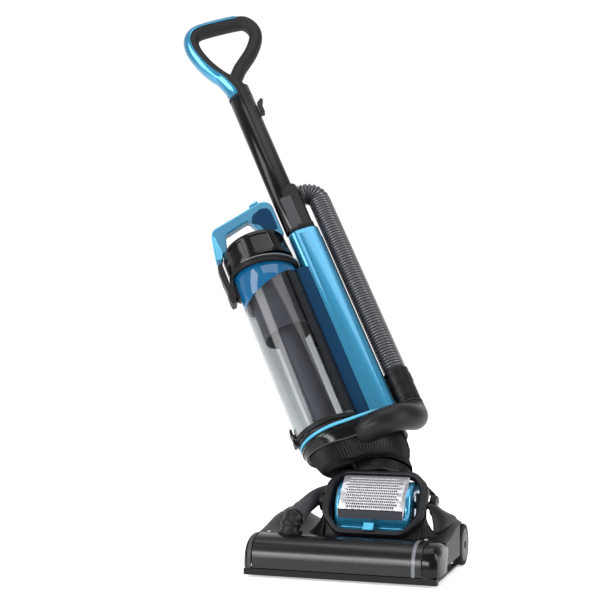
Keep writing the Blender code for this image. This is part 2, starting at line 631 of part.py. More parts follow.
def tube_section(z, grow=0.0, start=0, end=360, count=28):
    """The hand tube's oval section, or the part of it between two angles."""
    points = []
    steps = count if end - start < 360 else count - 1
    for i in range(steps + 1):
        angle = math.radians(start + (end - start) * i / count)
        points.append(((TUBE_HALF_X + grow) * math.cos(angle),
                       TUBE_Y + (TUBE_HALF_Y + grow) * math.sin(angle), z))
    return points


def build_tube():
    seam = 1.2
    front = [tube_section(z, 0, 180 + seam, 360 - seam, 16) for z in (TUBE_BOTTOM, TUBE_TOP)]
    back = [tube_section(z, 0, seam, 180 - seam, 16) for z in (TUBE_BOTTOM, TUBE_TOP + 26)]
    for name, sections, colour in (("tube_front", front, GLOSS_BLACK), ("tube_back", back, DARK_GREY)):
        thicken(loft(name, sections, BODY, colour, caps=False, ring_closed=False, smooth=50), 2.5)
    hook = frame("cord_hook_frame", BODY, (0, 51, 715))
    hook_outline = [(-4, -6), (4, -6), (4, 14), (10, 22), (6, 26), (-4, 18)]
    flat("cord_hook_upper", hook_outline, 14, hook, MATT_BLACK, turn=SIDEWAYS)
    ring("cord_gland", 6, 2.5, 0, 9, BODY, RUBBER, (-SPINE_HALF - GAP, 30, 96),
         Euler((0, math.radians(-90), 0)).to_matrix(), 16)


def handle_centreline():
    """The loop of the handle in the (y, z) plane, from the neck round and back."""
    corners = [(20, 798), (-6, 836), (-20, 880), (-20, 910), (-8, 926), (16, 929), (68, 926), (88, 920),
               (98, 900), (95, 878), (76, 850), (46, 822)]
    points = []
    count = len(corners)
    for i in range(count):
        p0, p1, p2, p3 = (Vector(corners[(i + k - 1) % count]) for k in range(4))
        for t in (0, 1 / 3, 2 / 3):
            points.append(0.5 * ((2 * p1) + (p2 - p0) * t + (2 * p0 - 5 * p1 + 4 * p2 - p3) * t ** 2
                                 + (3 * p1 - p0 - 3 * p2 + p3) * t ** 3))
    return points


def build_handle():
    line = handle_centreline()
    count = len(line)
    sections = []
    for i in range(count):
        ahead = (line[(i + 1) % count] - line[i - 1]).normalized()
        out = Vector((ahead.y, -ahead.x)) * -1
        ring_points = []
        for k in range(14):
            angle = 2 * math.pi * k / 14
            flat_point = line[i] + out * (12.5 * math.cos(angle))
            ring_points.append((14.5 * math.sin(angle), flat_point.x, flat_point.y))
        sections.append(ring_points)
    core = loft("handle_core", sections + [sections[0]], BODY, MATT_BLACK, caps=False, smooth=60)
    weld = core.modifiers.new("close_loop", "WELD")
    weld.merge_threshold = 0.00005
    stub = loft("handle_stub", [tube_section(z, -3.2, count=20) for z in (735, 812)], BODY, MATT_BLACK)
    join(core, stub)
    build_handle_shell(line)


def build_handle_shell(line):
    """The blue outer skin, over the front half of the neck, the front bar and the grip's top."""
    route = [Vector((22, 757)), Vector((21, 775))] + line[1:20]
    sections = []
    for i, point in enumerate(route):
        before = route[max(i - 1, 0)]
        after = route[min(i + 1, len(route) - 1)]
        ahead = (after - before).normalized()
        out = Vector((-ahead.y, ahead.x))
        radius = 20.5 if i < 2 else 17
        section = []
        for k in range(11):
            angle = math.radians(-80 + 16 * k)
            flat_point = point + out * (radius * math.cos(angle))
            section.append(((radius + 0.6) * math.sin(angle), flat_point.x, flat_point.y))
        sections.append(section)
    shell = loft("handle_shell", sections, BODY, BLUE, caps=False, ring_closed=False, smooth=60)
    thicken(shell, 2.2)


# ---------------------------------------------------------------- upright: hose
def hose_route():
    straight = [(0, HOSE_Y, CUFF_TOP + GAP)]
    straight += [(0, HOSE_Y, z) for z in range(160, 480, 40)]
    centre_y, centre_z = HOSE_Y - HOSE_BEND_R, HOSE_TOP - HOSE_BEND_R
    bend = [(0, y, z) for y, z in arc(HOSE_BEND_R, 0, 90, 8, (centre_y, centre_z))]
    return straight + bend + [(0, 53, HOSE_TOP)]


def build_hose():
    pipe("stretch_hose", hose_route(), HOSE_R, BODY, HOSE_GREY, wall=1.8, sides=5)
    ring("hose_cuff", 21, 18, CUFF_BOTTOM, CUFF_TOP, BODY, GLOSS_BLACK, (0, HOSE_Y, 0))
    pipe("hose_elbow", elbow_route(), ELBOW_R, BODY, MATT_BLACK, wall=2.4, sides=5)


# ---------------------------------------------------------------- dust bin
def build_bin():
    bin_frame = frame("bin_frame", BODY, (0, BIN_Y, 0))
    ring("bin_cup", BIN_R, BIN_R - BIN_WALL, BIN_BOTTOM, BIN_TOP, bin_frame, CLEAR, steps=48)
    ring("bin_upper_band", BIN_R - BIN_WALL - GAP, BIN_R - 4.4, 338, BIN_TOP, bin_frame, CLEAR_BLUE)
    shroud = [(49, 377), (49, 373), (40, 373), (42, 262), (40, 262), (38, 373), (34, 373), (34, 377)]
    turned("cyclone_shroud", shroud, bin_frame, DARK_GREY)
    turned("cyclone_tube", [(31, 330), (22, 268), (22, 74), (19.8, 74), (19.8, 268), (29, 330)],
           bin_frame, DARK_GREY, steps=32)
    turned("bin_filter", [(0, 372), (27, 372), (27, 340), (0, 340)], bin_frame, FILTER_WHITE, steps=28,
           closed=False)
    turned("bin_door", [(0, 69.2), (BIN_R + 1, 69.2), (BIN_R + 1, 65.5), (0, 64)], bin_frame, MATT_BLACK,
           closed=False)
    ring("door_seal", BIN_R - 2.6, BIN_R - 5, 69.6, 72.5, bin_frame, RUBBER)
    latch = frame("door_latch_frame", bin_frame, (0, -BIN_R - 4, 92))
    box("door_latch", (-9, -3.5, -25), (9, 2, 6), latch, MATT_BLACK, 1.5)
    build_lid(bin_frame)


def build_lid(bin_frame):
    lid = frame("lid_frame", bin_frame)
    cap = turned("bin_lid", [(0, LID_TOP), (LID_R - 7, LID_TOP), (LID_R - 3, LID_TOP - 4),
                             (LID_R, LID_BOTTOM + 6), (LID_R, LID_BOTTOM), (LID_R - 3, LID_BOTTOM),
                             (LID_R - 6.5, LID_TOP - 7), (0, LID_TOP - 4)],
                 lid, GLOSS_BLACK, closed=False)
    collar = ring("bin_collar", 61, 55.6, -5, 5, bin_frame, GLOSS_BLACK, (0, 0, 386), turn_x(-SLANT), 48)
    cut(collar, box("collar_trim", (-80, -80, LID_BOTTOM - GAP), (80, 80, LID_BOTTOM + 40), bin_frame,
                    GLOSS_BLACK))
    y0 = -BIN_Y
    outline = [(-129, 434), (-121, 490), (-109, 500), (-55, 515), (-22, 524), (-6, 521), (-1.6, 512),
               (-1.6, 448),
               (-38, 448), (-42, 476), (-52, 496), (-60, 494), (-98, 482), (-106, 448), (-118.6,
                                                                                         448), (-118.6, 434)]
    bail = flat("bin_handle", [(y + y0, z) for y, z in outline], 17, lid, BLUE, (0, 0, 0), SIDEWAYS)
    round_edges(bail, 3, 2)
    button = frame("bin_button_frame", lid, (0, y0 - 30, 524))
    box("bin_release_button", (-5, -9, 2.6), (5, 9, 6.6), button, LIGHT_BLUE, 1)
    clip = frame("lid_latch_frame", bin_frame, (0, -BIN_R - 13, 420))
    box("lid_latch", (-11, -6, -72), (11, 4.5, 8), clip, MATT_BLACK, 2)


# ---------------------------------------------------------------- upright: controls
def build_controls():
    switch = frame("switch_frame", BODY, (-SPINE_HALF - 2.5, 44, 470))
    box("power_switch", (-3, -7, -12), (1.4, 7, 12), switch, LIGHT_BLUE, 1)


def stand_on_origin():
    """Moves the whole object so that its box stands centred on the origin."""
    bpy.context.view_layer.update()
    graph = bpy.context.evaluated_depsgraph_get()
    lows, highs = [], []
    for obj in parts.objects:
        if obj.type != "MESH":
            continue
        shape = obj.evaluated_get(graph)
        points = [shape.matrix_world @ v.co for v in shape.data.vertices]
        lows.append([min(p[i] for p in points) for i in range(3)])
        highs.append([max(p[i] for p in points) for i in range(3)])
    low = [min(v[i] for v in lows) for i in range(3)]
    high = [max(v[i] for v in highs) for i in range(3)]
    HEAD.location = (-(low[0] + high[0]) / 2, -(low[1] + high[1]) / 2, -low[2])
    bpy.context.view_layer.update()


build_nose()
build_end_cap("end_cap_left", LEFT_CAP_INNER, -HEAD_HALF)
build_end_cap("end_cap_right", RIGHT_CAP_INNER, HEAD_HALF)
build_top_cover()
build_sole()
build_brush()
build_motor()
build_pod()
build_pod_frame()
build_wheels()
build_head_duct()
build_pedal()
build_yoke()
build_base()
build_spine()
build_tube()
build_handle()
build_hose()
build_bin()
build_controls()
stand_on_origin()
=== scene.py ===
import json
import math

import bmesh
import bpy
import numpy as np
from mathutils import Matrix, Vector
from mathutils.geometry import delaunay_2d_cdt


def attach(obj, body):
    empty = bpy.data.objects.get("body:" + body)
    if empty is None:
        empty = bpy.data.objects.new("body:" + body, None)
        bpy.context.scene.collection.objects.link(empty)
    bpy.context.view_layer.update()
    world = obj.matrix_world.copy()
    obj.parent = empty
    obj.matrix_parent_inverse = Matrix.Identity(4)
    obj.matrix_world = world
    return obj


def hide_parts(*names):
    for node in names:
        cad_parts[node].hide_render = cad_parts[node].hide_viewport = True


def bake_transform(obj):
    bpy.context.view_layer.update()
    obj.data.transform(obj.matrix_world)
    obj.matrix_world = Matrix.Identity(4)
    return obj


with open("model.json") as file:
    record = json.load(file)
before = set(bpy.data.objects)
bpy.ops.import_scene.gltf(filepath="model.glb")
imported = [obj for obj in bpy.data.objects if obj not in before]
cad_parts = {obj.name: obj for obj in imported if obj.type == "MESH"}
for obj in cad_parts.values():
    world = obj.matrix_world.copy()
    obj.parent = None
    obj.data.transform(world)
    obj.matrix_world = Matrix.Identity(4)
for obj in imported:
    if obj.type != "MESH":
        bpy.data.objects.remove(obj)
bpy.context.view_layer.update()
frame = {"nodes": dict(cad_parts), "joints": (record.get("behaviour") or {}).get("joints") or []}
joints = {joint["name"]: joint for joint in frame["joints"]}


# ---- Room: plain pale sweep, large soft panels and a long lens level with the dust bin.
# The panels stand left, right and overhead, as in a product studio, so gloss black shows
# wide soft bands. Measures are metres, taken from the floor head's own datum.
def linear(value):
    """A hex colour as linear red, green, blue and alpha."""
    parts = [int(value[i:i + 2], 16) / 255 for i in (0, 2, 4)]
    return (*[c / 12.92 if c <= 0.04045 else ((c + 0.055) / 1.055) ** 2.4 for c in parts], 1)


HEAD = Matrix.Translation(Vector(joints["rotor_spin"]["pos_m"]) - Vector((0.030, 0.006, 0.050)))
head_at = HEAD.translation

lens = bpy.data.cameras.new("long_lens")
lens.sensor_width, lens.lens, lens.clip_start = 36, 85.5, 0.05
camera = bpy.data.objects.new("camera", lens)
camera.location = head_at + Vector((0.602, -2.161, 0.4214))
camera.rotation_euler = (math.radians(90), 0, math.radians(18))
bpy.context.scene.collection.objects.link(camera)
bpy.context.scene.camera = camera


def panel(name, place, aim, width, height, watts):
    """A rectangular soft light at place, facing aim."""
    light = bpy.data.lights.new(name, "AREA")
    light.shape, light.size, light.size_y, light.energy = "RECTANGLE", width, height, watts
    lamp = bpy.data.objects.new(name, light)
    lamp.location = place
    lamp.rotation_euler = (Vector(aim) - Vector(place)).to_track_quat("-Z", "Y").to_euler()
    bpy.context.scene.collection.objects.link(lamp)


panel("key_panel", (-2.2, -1.9, 1.9), (0, 0, 0.45), 1.3, 2.2, 46)
panel("side_panel", (2.5, -0.6, 1.2), (0, 0, 0.45), 0.7, 2.4, 34)
panel("top_panel", (0.2, -0.4, 3.0), (0, 0, 0.2), 2.4, 2.0, 34)
panel("front_strip", (-0.9, -3.1, 0.9), (0, 0, 0.25), 2.6, 0.5, 55)


def add(tree, kind, settings=None, **links):
    """Adds a shader node, with its settings and its linked or set inputs."""
    made = tree.nodes.new(kind)
    for key, value in (settings or {}).items():
        setattr(made, key, value)
    for key, value in links.items():
        socket = made.inputs[int(key[1:]) if key[0] == "n" and key[1:].isdigit() else key.replace("_", " ")]
        if isinstance(value, bpy.types.NodeSocket):
            tree.links.new(value, socket)
        else:
            socket.default_value = value
    return made


world = bpy.data.worlds.new("studio")
world.use_nodes = True
# The backdrop behind the cleaner is lit white; the room in front of it is left dimmer.
facing_back = add(world.node_tree, "ShaderNodeVectorMath", {"operation": "DOT_PRODUCT"},
                  n0=add(world.node_tree, "ShaderNodeTexCoord").outputs["Generated"], n1=(-0.309, 0.951, 0))
brightness = add(world.node_tree, "ShaderNodeMapRange", {"interpolation_type": "SMOOTHSTEP"},
                 Value=facing_back.outputs["Value"], From_Min=0.1, From_Max=0.93, To_Min=0.4, To_Max=1.05)
glow = world.node_tree.nodes["Background"].inputs
world.node_tree.links.new(brightness.outputs["Result"], glow["Strength"])
glow["Color"].default_value = linear("FFFFFF")
bpy.context.scene.world = world
bpy.context.scene.view_settings.view_transform = "Standard"

sweep_mesh = bmesh.new()
bmesh.ops.create_grid(sweep_mesh, x_segments=2, y_segments=2, size=9)
sweep_data = bpy.data.meshes.new("studio_floor")
sweep_mesh.to_mesh(sweep_data)
studio_floor = bpy.data.objects.new("studio_floor", sweep_data)
bpy.context.scene.collection.objects.link(studio_floor)
paper = bpy.data.materials.new("seamless_paper")
paper.use_nodes = True
for socket_name, value in (("Base Color", linear("F7F7F8")), ("Roughness", 0.9), ("Specular IOR Level", 0.0),
                           ("Emission Color", linear("FFFFFF")), ("Emission Strength", 0.5)):
    paper.node_tree.nodes["Principled BSDF"].inputs[socket_name].default_value = value
sweep_data.materials.append(paper)


# ---- Sole plate and skirt: a flat black ABS moulding with the brush slot, axle stubs and
# roller pins, and the soft rubbing strip that runs round its front edge.
def new_finish(name):
    """An empty material, its nodes, its shader and the piece's own metres."""
    made = bpy.data.materials.new(name)
    made.use_nodes = True
    place = add(made.node_tree, "ShaderNodeTexCoord").outputs["Object"]
    return made, made.node_tree, made.node_tree.nodes["Principled BSDF"], place


def moulded_abs(name, colour, polish, grain_mm, depth, coat=0.0, shine=0.2):
    """Injection-moulded ABS: its own colour through and through, with the tool's texture.

    grain_mm is the size of the tool texture and depth how deep it reads. Polish is the
    roughness, which a faint film of dust and handling varies, and shine how much it mirrors."""
    made, tree, shader, place = new_finish(name)
    grain = add(tree, "ShaderNodeTexNoise", n0=place, Scale=1000 / grain_mm, Detail=3.0, Roughness=0.6)
    film = add(tree, "ShaderNodeTexNoise", n0=place, Scale=1000 / 60, Detail=5.0, Roughness=0.65)
    rough = add(tree, "ShaderNodeMapRange", n0=film.outputs["Fac"], n1=0.3, n2=0.7,
                n3=max(polish - 0.025, 0.02), n4=polish + 0.05)
    tree.links.new(rough.outputs[0], shader.inputs["Roughness"])
    bump = add(tree, "ShaderNodeBump", Height=grain.outputs["Fac"], Strength=depth, Distance=0.0004)
    tree.links.new(bump.outputs["Normal"], shader.inputs["Normal"])
    shade = add(tree, "ShaderNodeMixRGB", {"blend_type": "MULTIPLY"}, Fac=0.12, Color1=linear(colour),
                Color2=film.outputs["Color"])
    tree.links.new(shade.outputs[0], shader.inputs["Base Color"])
    shader.inputs["IOR"].default_value = 1.53
    shader.inputs["Specular IOR Level"].default_value = shine
    shader.inputs["Coat Weight"].default_value = coat
    shader.inputs["Coat Roughness"].default_value = 0.04
    return made


gloss_black = moulded_abs("polished_black_abs", "060607", 0.16, 4.0, 0.02, coat=0.12)
nose_black = moulded_abs("satin_polished_black_abs", "060608", 0.24, 4.0, 0.02, shine=0.42)
satin_black = moulded_abs("spark_textured_black_abs", "0D0D0F", 0.42, 0.9, 0.2)
coal_grey = moulded_abs("satin_charcoal_abs", "17171B", 0.34, 0.9, 0.12)


def settle(obj, material, body, slot, *nodes, smooth=40):
    """Gives a piece its finish and shading, and says what it rides on and stands for."""
    obj.data.materials.clear()
    obj.data.materials.append(material)
    obj.data.shade_smooth()
    obj.data.set_sharp_from_angle(angle=math.radians(smooth))
    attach(obj, body)
    if nodes:
        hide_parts(*nodes)
    return obj


MM = 0.001


def piece(name, bm, where):
    """A mesh object from millimetres in the frame where."""
    bmesh.ops.recalc_face_normals(bm, faces=bm.faces)
    bm.transform(where @ Matrix.Scale(MM, 4))
    mesh = bpy.data.meshes.new(name)
    bm.to_mesh(mesh)
    bm.free()
    obj = bpy.data.objects.new(name, mesh)
    bpy.context.scene.collection.objects.link(obj)
    return obj


def soften(obj, width, segments=3, angle=35):
    """Rounds a moulding's edges by width, in millimetres."""
    edge = obj.modifiers.new("moulded_edge", "BEVEL")
    edge.width, edge.segments, edge.limit_method = width * MM, segments, "ANGLE"
    edge.angle_limit = math.radians(angle)
    edge.harden_normals = True
    return obj


def wall(obj, thickness):
    """Gives an open skin its wall, inwards."""
    solid = obj.modifiers.new("wall", "SOLIDIFY")
    solid.thickness, solid.offset, solid.use_even_offset = thickness * MM, -1, True
    return obj


def skin(sections, closed_ring=True, caps=False, bm=None):
    """Quads between rows of points; closed_ring joins each row's end to its start."""
    bm = bmesh.new() if bm is None else bm
    rows = [[bm.verts.new(p) for p in section] for section in sections]
    count = len(rows[0])
    for low, high in zip(rows, rows[1:]):
        for i in range(count if closed_ring else count - 1):
            j = (i + 1) % count
            bm.faces.new((low[i], low[j], high[j], high[i]))
    if caps:
        bm.faces.new(rows[0][::-1])
        bm.faces.new(rows[-1])
    return bm


def smooth_line(points, per_span=6, closed=False):
    """Points along a smooth curve through the given ones."""
    given = [Vector(p) for p in points]
    count = len(given)
    spans = count if closed else count - 1
    line = []
    for i in range(spans):
        if closed:
            p0, p1, p2, p3 = (given[(i + k - 1) % count] for k in range(4))
        else:
            p0, p1, p2, p3 = (given[min(max(i + k - 1, 0), count - 1)] for k in range(4))
        for step in range(per_span):
            t = step / per_span
            line.append(0.5 * (2 * p1 + (p2 - p0) * t + (2 * p0 - 5 * p1 + 4 * p2 - p3) * t * t
                               + (3 * p1 - p0 - 3 * p2 + p3) * t ** 3))
    if not closed:
        line.append(given[-1])
    return line


def sweep(line, section, closed=False, up=Vector((1, 0, 0))):
    """Rows of a section carried along a line; section(i, share) gives (across, out) pairs.

    across runs along up, and out at right angles to it and to the line."""
    rows = []
    count = len(line)
    for i, point in enumerate(line):
        if closed:
            ahead = line[(i + 1) % count] - line[i - 1]
        else:
            ahead = line[min(i + 1, count - 1)] - line[max(i - 1, 0)]
        ahead.normalize()
        side = (up - ahead * up.dot(ahead)).normalized()
        out = side.cross(ahead)
        rows.append([point + side * a + out * b for a, b in section(i, i / (count - 1))])
    if closed:
        rows.append(rows[0])
    return rows


def circle(radius, count=32):
    """Points round a circle."""
    turns = [math.tau * k / count for k in range(count)]
    return [(radius * math.cos(turn), radius * math.sin(turn)) for turn in turns]


def block(low, high, where, name="cutter"):
    """A square block between two opposite corners."""
    bm = bmesh.new()
    bmesh.ops.create_cube(bm, size=1)
    low, high = Vector(low), Vector(high)
    bm.transform(Matrix.Translation((low + high) / 2) @ Matrix.Diagonal((*(high - low), 1)))
    return piece(name, bm, where)


def rounded_box(low, high, where, name, radius, segments=3):
    """A moulded block with rounded edges."""
    return soften(block(low, high, where, name), radius, segments)


def bar(outline, start, end, where, name, axis="X"):
    """A flat outline thickened from start to end along an axis."""
    lay = {"X": lambda a, b, c: (c, a, b), "Y": lambda a, b, c: (a, c, b),
           "Z": lambda a, b, c: (a, b, c)}[axis]
    ends = [[lay(a, b, at) for a, b in outline] for at in (start, end)]
    return piece(name, skin(ends, caps=True), where)


def moved(where, x, y, z):
    """The frame where, moved by millimetres along its own axes."""
    return where @ Matrix.Translation(Vector((x, y, z)) * MM)


def finish_inside(material, *nodes):
    """Gives parts that stay as they are their real finish."""
    for node in nodes:
        frame["nodes"][node].data.materials.clear()
        frame["nodes"][node].data.materials.append(material)


finish_inside(satin_black, "sole_plate")
skirt_path = smooth_line([(-147, -60, 9), (-147, -90, 9), (-146, -110, 9), (-141, -118.5, 9), (-120, -121, 9),
                          (0, -121.4, 9), (120, -121, 9), (141, -118.5, 9), (146, -110, 9), (147, -90, 9),
                          (147, -60, 9)], 5)
skirt_section = [(a * 0.8, b) for a, b in circle(3.6, 12)]
skirt_rows = sweep(skirt_path, lambda i, s: skirt_section, up=Vector((0, 0, 1)))
settle(piece("front_skirt", skin(skirt_rows, caps=True), HEAD), satin_black, "head", "matt_black")


# ---- Brush roll: a black nylon dowel wound with four helical rows of tufts, on a steel
# axle in two bearings, with the toothed pulley outside its right end.
def lathe(profile, steps=64, closed=True):
    """A profile of (radius, height) pairs turned about Z."""
    bm = bmesh.new()
    rows = []
    for k in range(steps):
        c, s = math.cos(math.tau * k / steps), math.sin(math.tau * k / steps)
        rows.append([bm.verts.new((r * c, r * s, z)) if r > 1e-6 or k == 0 else None for r, z in profile])
    for j, (r, z) in enumerate(profile):
        if r <= 1e-6:
            for row in rows:
                row[j] = rows[0][j]
    count = len(profile)
    for k in range(steps):
        one, two = rows[k], rows[(k + 1) % steps]
        for j in range(count if closed else count - 1):
            m = (j + 1) % count
            corners = []
            for vert in (one[j], one[m], two[m], two[j]):
                if vert not in corners:
                    corners.append(vert)
            if len(corners) > 2:
                bm.faces.new(corners)
    return bm


def round_corners(outline, radius, steps=5, least=2.1, sharp_axis=False):
    """Rounds a closed outline's corners by radius, or by an edge's length over least."""
    points = [Vector(p) for p in outline]
    count = len(points)
    result = []
    for i, p in enumerate(points):
        before, after = points[i - 1] - p, points[(i + 1) % count] - p
        reach = min(radius, before.length / least, after.length / least)
        if sharp_axis and p.x < 1e-6:
            result.append((p.x, p.y))
            continue
        a, b = p + before.normalized() * reach, p + after.normalized() * reach
        for k in range(steps + 1):
            t = k / steps
            q = a * (1 - t) ** 2 + p * 2 * t * (1 - t) + b * t * t
            result.append((q.x, q.y))
    return result


def eased(profile, radius, steps=4):
    """Rounds each corner of a closed (radius, height) profile that lies off the axis."""
    return round_corners(profile, radius, steps, 2.2, sharp_axis=True)


ALONG_X = Matrix.Rotation(math.radians(90), 4, "Y")
brush_at = Matrix.Translation(Vector(joints["brush_spin"]["pos_m"]))
dowel = piece("brush_dowel", lathe(eased([(17, 124), (17, -124), (5, -124), (5, 124)], 1.5), 40),
              brush_at @ ALONG_X)
dowel.location.x = -0.006
tufts = bmesh.new()
for row in range(4):
    for k in range(58):
        share = k / 57
        angle = math.tau * row / 4 + math.pi * 0.5 * share
        out = Vector((0, math.cos(angle), math.sin(angle)))
        side = Vector((0, -math.sin(angle), math.cos(angle)))
        x = (share - 0.5) * 228
        ring_low = [Vector((x + a, 0, 0)) + side * b + out * 16.4 for a, b in circle(1.2, 5)]
        ring_high = [Vector((x + a * 1.7, 0, 0)) + side * b * 1.7 + out * 26.4 for a, b in circle(1.2, 5)]
        skin([ring_low, ring_high], caps=True, bm=tufts)
nylon = moulded_abs("black_nylon_tufts", "101012", 0.6, 0.6, 0.4)
brush_tufts = piece("brush_tufts", tufts, brush_at)
brush_tufts.location.x = -0.006
bpy.context.view_layer.update()
settle(dowel, satin_black, "brush_roll", "matt_black", "brush_core")
settle(brush_tufts, nylon, "brush_roll", "rubber")


def drawn_steel(name, colour="B9BBBE", rough=0.28, stretch=30):
    """Cold-drawn or turned steel: bright, with fine lines round the piece."""
    made, tree, shader, place = new_finish(name)
    laid = add(tree, "ShaderNodeMapping", n0=place, Scale=(stretch, 1.0, 1.0))
    lines = add(tree, "ShaderNodeTexNoise", n0=laid.outputs[0], Scale=60.0, Detail=4.0)
    spread = add(tree, "ShaderNodeMapRange", n0=lines.outputs["Fac"], n3=rough - 0.08, n4=rough + 0.12)
    tree.links.new(spread.outputs[0], shader.inputs["Roughness"])
    shader.inputs["Base Color"].default_value = linear(colour)
    shader.inputs["Metallic"].default_value = 1.0
    return made


steel = drawn_steel("drawn_steel")
blackened = moulded_abs("carbon_black_rubber", "0C0C0D", 0.72, 0.8, 0.35)
finish_inside(steel, "brush_axle", "brush_pulley", "brush_bearing_left", "brush_bearing_right", "armature",
              "swivel_bearing")
finish_inside(satin_black, "motor_can")
finish_inside(coal_grey, "stator", "fan_impeller", "riser_duct")
finish_inside(blackened, "drive_belt", "door_seal")


# ---- Wheels and rollers: satin ABS rear wheels with a rubber tread and a plain disc
# face, pressed on moulded stubs, and two small nylon rollers behind the brush slot.
hub_grey = moulded_abs("satin_grey_hub", "3B3B3F", 0.38, 1.2, 0.12)
for word in ("left", "right"):
    spot = Matrix.Translation(Vector(joints[f"wheel_{word}_spin"]["pos_m"])) @ ALONG_X
    tyre = [(33, 5), (33, 2.2), (32.2, 1.7), (32.2, 0.9), (33, 0.4), (33, -0.4), (32.2, -0.9), (32.2, -1.7),
            (33, -2.2), (33, -5), (31.5, -8), (26, -8.8), (26, 8.8), (31.5, 8)]
    settle(piece(f"wheel_tread_{word}", lathe(tyre, 72), spot), blackened, f"wheel_{word}", "rubber",
           f"rear_wheel_{word}", smooth=25)
    disc = [(26, -8), (26, 8), (24.6, 8.8), (20, 8.2), (18, 8.8), (8, 9), (6, 8.4), (6, -8.4), (8, -9),
            (18, -8.8), (20, -8.2), (24.6, -8.8)]
    settle(piece(f"wheel_disc_{word}", lathe(disc, 64), spot), hub_grey, f"wheel_{word}", "dark_grey",
           smooth=30)
    spot = Matrix.Translation(Vector(joints[f"roller_{word}_spin"]["pos_m"])) @ ALONG_X
    settle(piece(f"roller_{word}", lathe(eased([(8, 6), (8, -6), (2.6, -6), (2.6, 6)], 1.6), 32), spot),
           nylon, f"roller_{word}", "matt_black", f"front_roller_{word}")


# ---- Nose: one polished black cover over the brush, with a separate end cap each side
# and a fine shadow gap between them. Polished tool steel leaves a mirror-like face.
# painted_highlight_grey is grey paint that stands in for a highlight: the silver line of light along the
# nose's right end, and the sheen on the bin collar's thin ring.
painted_highlight_grey = moulded_abs("painted_highlight_grey_abs", "6A6D72", 0.28, 1.0, 0.05, coat=0.3)
nose_profile = smooth_line([(-124, 14.2), (-124.8, 22), (-124, 32), (-121, 43), (-114.5, 52.5), (-105, 58.6),
                            (-95, 61.4), (-86, 62), (-76, 61.3), (-67.4, 59.8)], 5)


def nose_row(x, pull=0.0, drop=0.0):
    """The nose's outline at x, pulled back and lowered towards an end."""
    row = []
    for p in nose_profile:
        share = max(0.0, (p.y - 14.2) / 48)
        row.append((x, p.x + pull, p.y - drop * share))
    return row


nose = skin([nose_row(x) for x in (-137.4, -136.4, -90, 0, 90, 125.4, 126.4)], closed_ring=False)
settle(soften(wall(piece("nose_shell", nose, HEAD), 2.4), 0.7, 2), nose_black, "head", "gloss_black",
       "nose_cover")
for word, inner, outer in (("left", -138.6, -152.4), ("right", 127.6, 152.4)):
    rows = []
    for k in range(9):
        t = k / 8
        fall = 1 - math.sqrt(max(0.0, 1 - t ** 3.2))
        row = nose_row(inner + (outer - inner) * t, pull=12 * fall, drop=13 * fall)
        rows.append(row + [(row[-1][0], -66.5, 14.2)])
    cap = skin(rows, closed_ring=False)
    rim = [v for v in cap.verts if abs(v.co.x - outer) < 1e-4]
    cap.faces.new(sorted(rim, key=lambda v: math.atan2(v.co.z - 34, v.co.y + 95)))
    settle(soften(wall(piece(f"nose_cap_{word}", cap, HEAD), 2.2), 0.8, 2), gloss_black, "head",
           "gloss_black", f"end_cap_{word}", smooth=28)
    # The right band is a painted highlight, grey where light draws a silver line across the nose; the left
    # band is a plain grey band.
    band_x, band_finish = (inner + (outer - inner) * 0.22, hub_grey) if word == "left" else (114.0, painted_highlight_grey)
    band_rows = [[(band_x + reach, y - proud, z + proud * (z > 40)) for _, y, z in nose_row(0)]
                 for reach, proud in ((-2.9, -0.2), (-2.4, 0.35), (2.4, 0.35), (2.9, -0.2))]
    band = skin(band_rows, closed_ring=False)
    settle(piece(f"nose_band_{word}", band, HEAD), band_finish, "head", "dark_grey")


# ---- Rear cover: a textured black saddle that swells into a fender over each wheel and
# dips in the middle, where the motor pod and the yoke stand.
def cover_height(x, y):
    """How high the rear cover stands at x, y."""
    saddle = 56 + 4 * math.exp(-((y + 10) / 60) ** 2)
    swell = sum(29 * math.exp(-((x - side * 122) / 34) ** 2 - ((y - 40) / 55) ** 2) for side in (-1, 1))
    return saddle + swell - 26 * max(0.0, (y - 70) / 38) ** 2


def carve(obj, *cutters):
    """Cuts pieces out of obj for good, and removes the cutters."""
    for cutter in cutters:
        cut = obj.modifiers.new("cut", "BOOLEAN")
        cut.operation, cut.object = "DIFFERENCE", cutter
    bpy.context.view_layer.update()
    result = bpy.data.meshes.new_from_object(obj.evaluated_get(bpy.context.evaluated_depsgraph_get()))
    obj.modifiers.clear()
    obj.data = result
    for cutter in cutters:
        bpy.data.objects.remove(cutter)
    return obj


cover_rows = []
for j in range(45):
    y = -65.5 + 150 * j / 44
    row = [(-151, y, 22), (-151, y, cover_height(-151, y) - 4), (-150.4, y, cover_height(-150.5, y) - 1.2)]
    row += [(-148.5 + 4.5 * i, y, cover_height(-148.5 + 4.5 * i, y)) for i in range(67)]
    row += [(150.4, y, cover_height(150.5, y) - 1.2), (151, y, cover_height(151, y) - 4), (151, y, 22)]
    cover_rows.append(row)
for pull, share in ((1.2, 0.9), (2.0, 0.6), (2.2, 0.0)):
    cover_rows.append([(x, 84.5 + pull, 22 + (z - 22) * share) for x, _, z in cover_rows[44]])
cover_skin = skin(cover_rows, closed_ring=False)
bmesh.ops.remove_doubles(cover_skin, verts=cover_skin.verts, dist=0.05)
bmesh.ops.dissolve_degenerate(cover_skin, edges=cover_skin.edges, dist=0.05)
rear_cover = wall(piece("rear_cover", cover_skin, HEAD), 2.4)
well = piece("cutter", lathe([(0, 75), (60, 75), (60, -75), (0, -75)], 72, closed=False),
             moved(HEAD, 30, -4, 92) @ ALONG_X)
cuts = [well, block((-69, -34, 30), (123, 92, 150), HEAD), block((-110, 74, 18), (-66, 130, 64), HEAD)]
for side in (-1, 1):
    cuts.append(block((side * 146 - 15, 37, -5), (side * 146 + 15, 140, 70), HEAD))
carve(rear_cover, *cuts)
settle(rear_cover, satin_black, "head", "matt_black", "top_cover", smooth=45)

